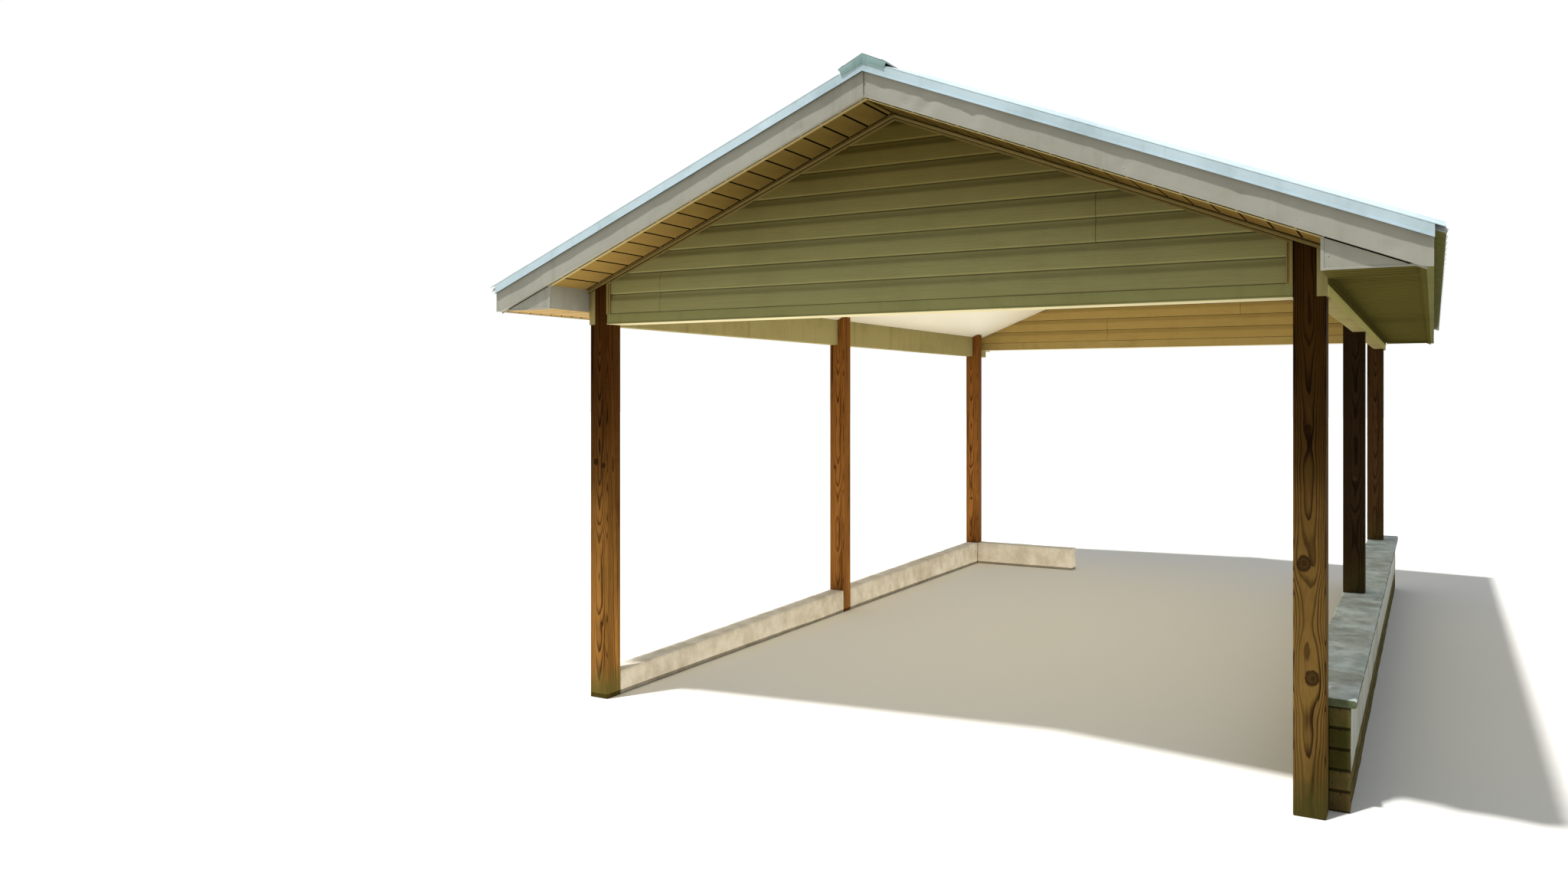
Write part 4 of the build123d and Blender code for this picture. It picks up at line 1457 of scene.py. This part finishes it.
def cap_folds(outer, half):
    """Folded ends of the ridge cap, which close it down to the flashing."""
    foot = outer - 0.050
    corner = half - 0.016
    folds = []
    for low, lip, y in ((foot, 0.050, 0.0), (foot - 0.0006, 0.005, -0.002)):
        corner_z = roof_z(low, corner)
        fold = [
            (0.0, low),
            (corner, corner_z),
            (corner + lip * 0.32, min(corner_z + lip, cap_z(outer, half) - 0.0005)),
            (0.0, low + lip - 0.0005),
        ]
        piece = soften(outline_solid("fold", fold, "y", CAP_LOW.y + y, CAP_LOW.y + 0.003), width=0.0008)
        folds.append(piece)
        for x_side, y_side in ((-1, 1), (1, -1), (-1, -1)):
            folds.append(mirrored(piece, "fold", x_side, y_side))
    return folds


def make_ridge_cap():
    """Bent ridge cap with folded ends, screws and near-black strips under its edges that paint the shade of
    the hollow there.
    """
    outer = CAP_HIGH.z
    gauge = 0.0025
    half = CAP_HIGH.x
    cap = outline_solid("ridge_cap_sheet", cap_outline(outer, gauge, half), "y", CAP_LOW.y, CAP_HIGH.y)
    divide(cap, BACK, cuts=79)
    piece = join("ridge_cap_sheet", [cap, *cap_folds(outer, half)])
    ripple(piece, depth=0.0020, size=0.30, axis="Z")
    place_piece(piece, "ridge", "roof_trim", "ridge_cap")
    screws = []
    from_edge = 0.045
    for side in (1, -1):
        screw = roof_screw()
        screw.rotation_euler = (0, side * CAP_ANGLE, 0)
        x = side * (half - from_edge)
        screw.location = (x, FIRST_RIB, cap_z(outer, x))
        screws.append(repeat(settle(screw), RIB_GAPS + 1, (0, RIB_PITCH, 0)))
    place_piece(join("ridge_cap_screws", screws), "screw", "roof_trim")
    # Painted shade: near-black strips inside the cap's edges darken the hollow under the cap.
    inner_x, outer_x = half - 0.034, half - 0.012
    under = [(x, cap_z(outer - gauge, x)) for x in (outer_x, inner_x)]
    strip = on_roof(METAL_PEAK + SHEET, inner_x, outer_x) + under
    filler = soften(outline_solid("filler", strip, "y", Y_RAKE - 0.008, 0.008 - Y_RAKE), width=0.002)
    place_pair(filler, "ridge_filler", "filler_foam", "roof_trim")


def rake_flange(start, end):
    """Top of the edge flashing: rises over the first rib, drops behind it and dips under the ridge cap."""
    front, back = Y_RAKE - 0.014, Y_RAKE + 0.064
    low = SHEET + RIB_HEIGHT + 0.003
    high = low + 0.026
    gauge = 0.003
    outline = [
        (front, low),
        (back, high),
        (back, SHEET),
        (back - gauge, SHEET),
        (back - gauge, high - gauge),
        (front, low - gauge),
    ]
    flange = outline_solid("flange", outline, "x", start, end / math.cos(ROOF_ANGLE) + 0.05)
    lay_on_slope(divide(flange, RIGHT, cuts=69))
    cut_away(flange, (start, 0, 0), LEFT)
    cut_away(flange, (end, 0, 0), RIGHT)
    taper = Vector((0.25, 0, -0.25 * SLOPE + 0.028))
    return cut_away(flange, (start, 0, roof_z(RIB_PEAK, start) + 0.006), (-taper.z, 0, taper.x))


def make_rake_trims():
    """Edge flashing: face, kicked drip edge and the flange over the first rib."""
    front = Y_RAKE - 0.013
    end_x = FASCIA_X + 0.004
    low = METAL_PEAK - 0.026
    face = band("face", 0.0, end_x, low, RIB_PEAK + 0.002, front, front + 0.003)
    kick = band("kick", 0.0, end_x, low - 0.004, low + 0.003, front - 0.005, front + 0.003)
    back_leg = band("leg", 0.0, end_x, low - 0.002, low + 0.001, front, Y_RAKE)
    parts = [divide(part, DOWN_SLOPE, cuts=69) for part in (face, kick, back_leg)]
    divide(face, UP, cuts=2)
    right = join("trim_base", [*parts, rake_flange(CAP_HIGH.x, SHEET_END)])
    for end in ENDS:
        halves = [mirrored(right, "trim_half", x_side, SIGN[end]) for x_side in (1, -1)]
        piece = ripple(join(end + "_flashing", halves), depth=0.0050, size=0.16, axis="Y")
        smooth(piece, degrees=40)
        place_piece(piece, "trim", "roof_trim", end + "_rake_trim")
    bpy.data.objects.remove(right)


# Ceiling
def make_ceiling():
    """Cream ceiling panels with fine joints, and strips along the ridge, the beams and the ends."""
    low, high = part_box("ceiling_right")
    peak = low.z + SLOPE * high.x
    under, over = peak - 0.004, peak + 0.002
    thick = 0.012
    end_strip = 0.022
    # Both distances from the middle and both ends of each strip
    places = (
        (0.0, 0.030, low.y, high.y),
        (high.x - end_strip, high.x, low.y, high.y),
        (0.0, high.x, low.y, low.y + end_strip),
        (0.0, high.x, high.y - end_strip, high.y),
    )
    length_down = high.x / math.cos(ROOF_ANGLE)
    outline = groove_edge(low.y, high.y, low.y + 0.9, pitch=1.22, width=0.006, depth=0.0025)
    outline += [(high.y, thick), (low.y, thick)]
    for side in SIDES:
        sheet = lay_on_slope(outline_solid("ceiling_sheet", outline, "x", 0.0, length_down), peak)
        cut_away(sheet, (0, 0, 0), LEFT)
        cut_away(sheet, (high.x, 0, 0), RIGHT)
        strips = [band("strip", x0, x1, under, over, y0, y1) for x0, x1, y0, y1 in places]
        piece = on_side(join("ceiling_sheet_" + side, [sheet, *strips]), side)
        place_piece(piece, "ceiling", "ceiling_panel", "ceiling_" + side)


# Ground level
def rough_copy(node, name, width, cuts, depth, size):
    """Softened copy of a block with an uneven surface."""
    piece = node_copy(node, name)
    for way, count in zip((RIGHT, BACK, UP), cuts):
        if count:
            divide(piece, way, count)
    soften(piece, width, 3)
    ripple(piece, depth, size, "X")
    ripple(piece, depth, size * 1.13, "Z")
    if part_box(node)[0].z < 0.001:
        cut_away(piece, (0, 0, 0), DOWN)
    return piece


# By look and slot: end of the names, width of the edges, cuts along the axes, depth and size of the waves
GROUND_SHAPES = {
    "curb_concrete": ("_cast", 0.010, (5, 40, 5), 0.008, 0.16),
    "cap_concrete": ("_slab", 0.002, (6, 60, 1), 0.006, 0.14),
    "wall_timber": ("_timbers", 0.002, (0, 50, 0), 0.007, 0.22),
}
GROUND_NODES = {
    "curb_concrete": ("left_curb_front", "left_curb_back", "back_curb"),
    "cap_concrete": ("wall_cap_front", "wall_cap_back"),
    "wall_timber": tuple("wall_course_" + str(course) for course in range(1, 6)),
}


def make_ground_pieces():
    """Curbs, low wall, its cap and its cover sheet."""
    for look, (tail, *shape) in GROUND_SHAPES.items():
        for node in GROUND_NODES[look]:
            place_piece(rough_copy(node, node + tail, *shape), look, look, node)
    cuts = (0, 60, 6)
    sheet = rough_copy("wall_face_sheet", "wall_cover", width=0.0008, cuts=cuts, depth=0.0045, size=0.20)
    place_piece(sheet, "wall_sheet", "wall_sheet", "wall_face_sheet")


make_posts()
make_gable_walls()
make_gable_channels()
make_headers()
make_beams()
make_rake_soffits()
make_rake_fascias()
make_eave_returns()
make_return_bottoms()
make_eaves()
make_eave_soffits()
make_roof_sheets()
make_roof_screws()
make_ridge_cap()
make_rake_trims()
make_ceiling()
make_ground_pieces()
for node in ("rafters_right", "rafters_left", "ridge_board"):
    dress_node(node, MATERIALS["frame"])

add_floor()
add_world()
add_sun()
add_bounce_light()
add_camera()
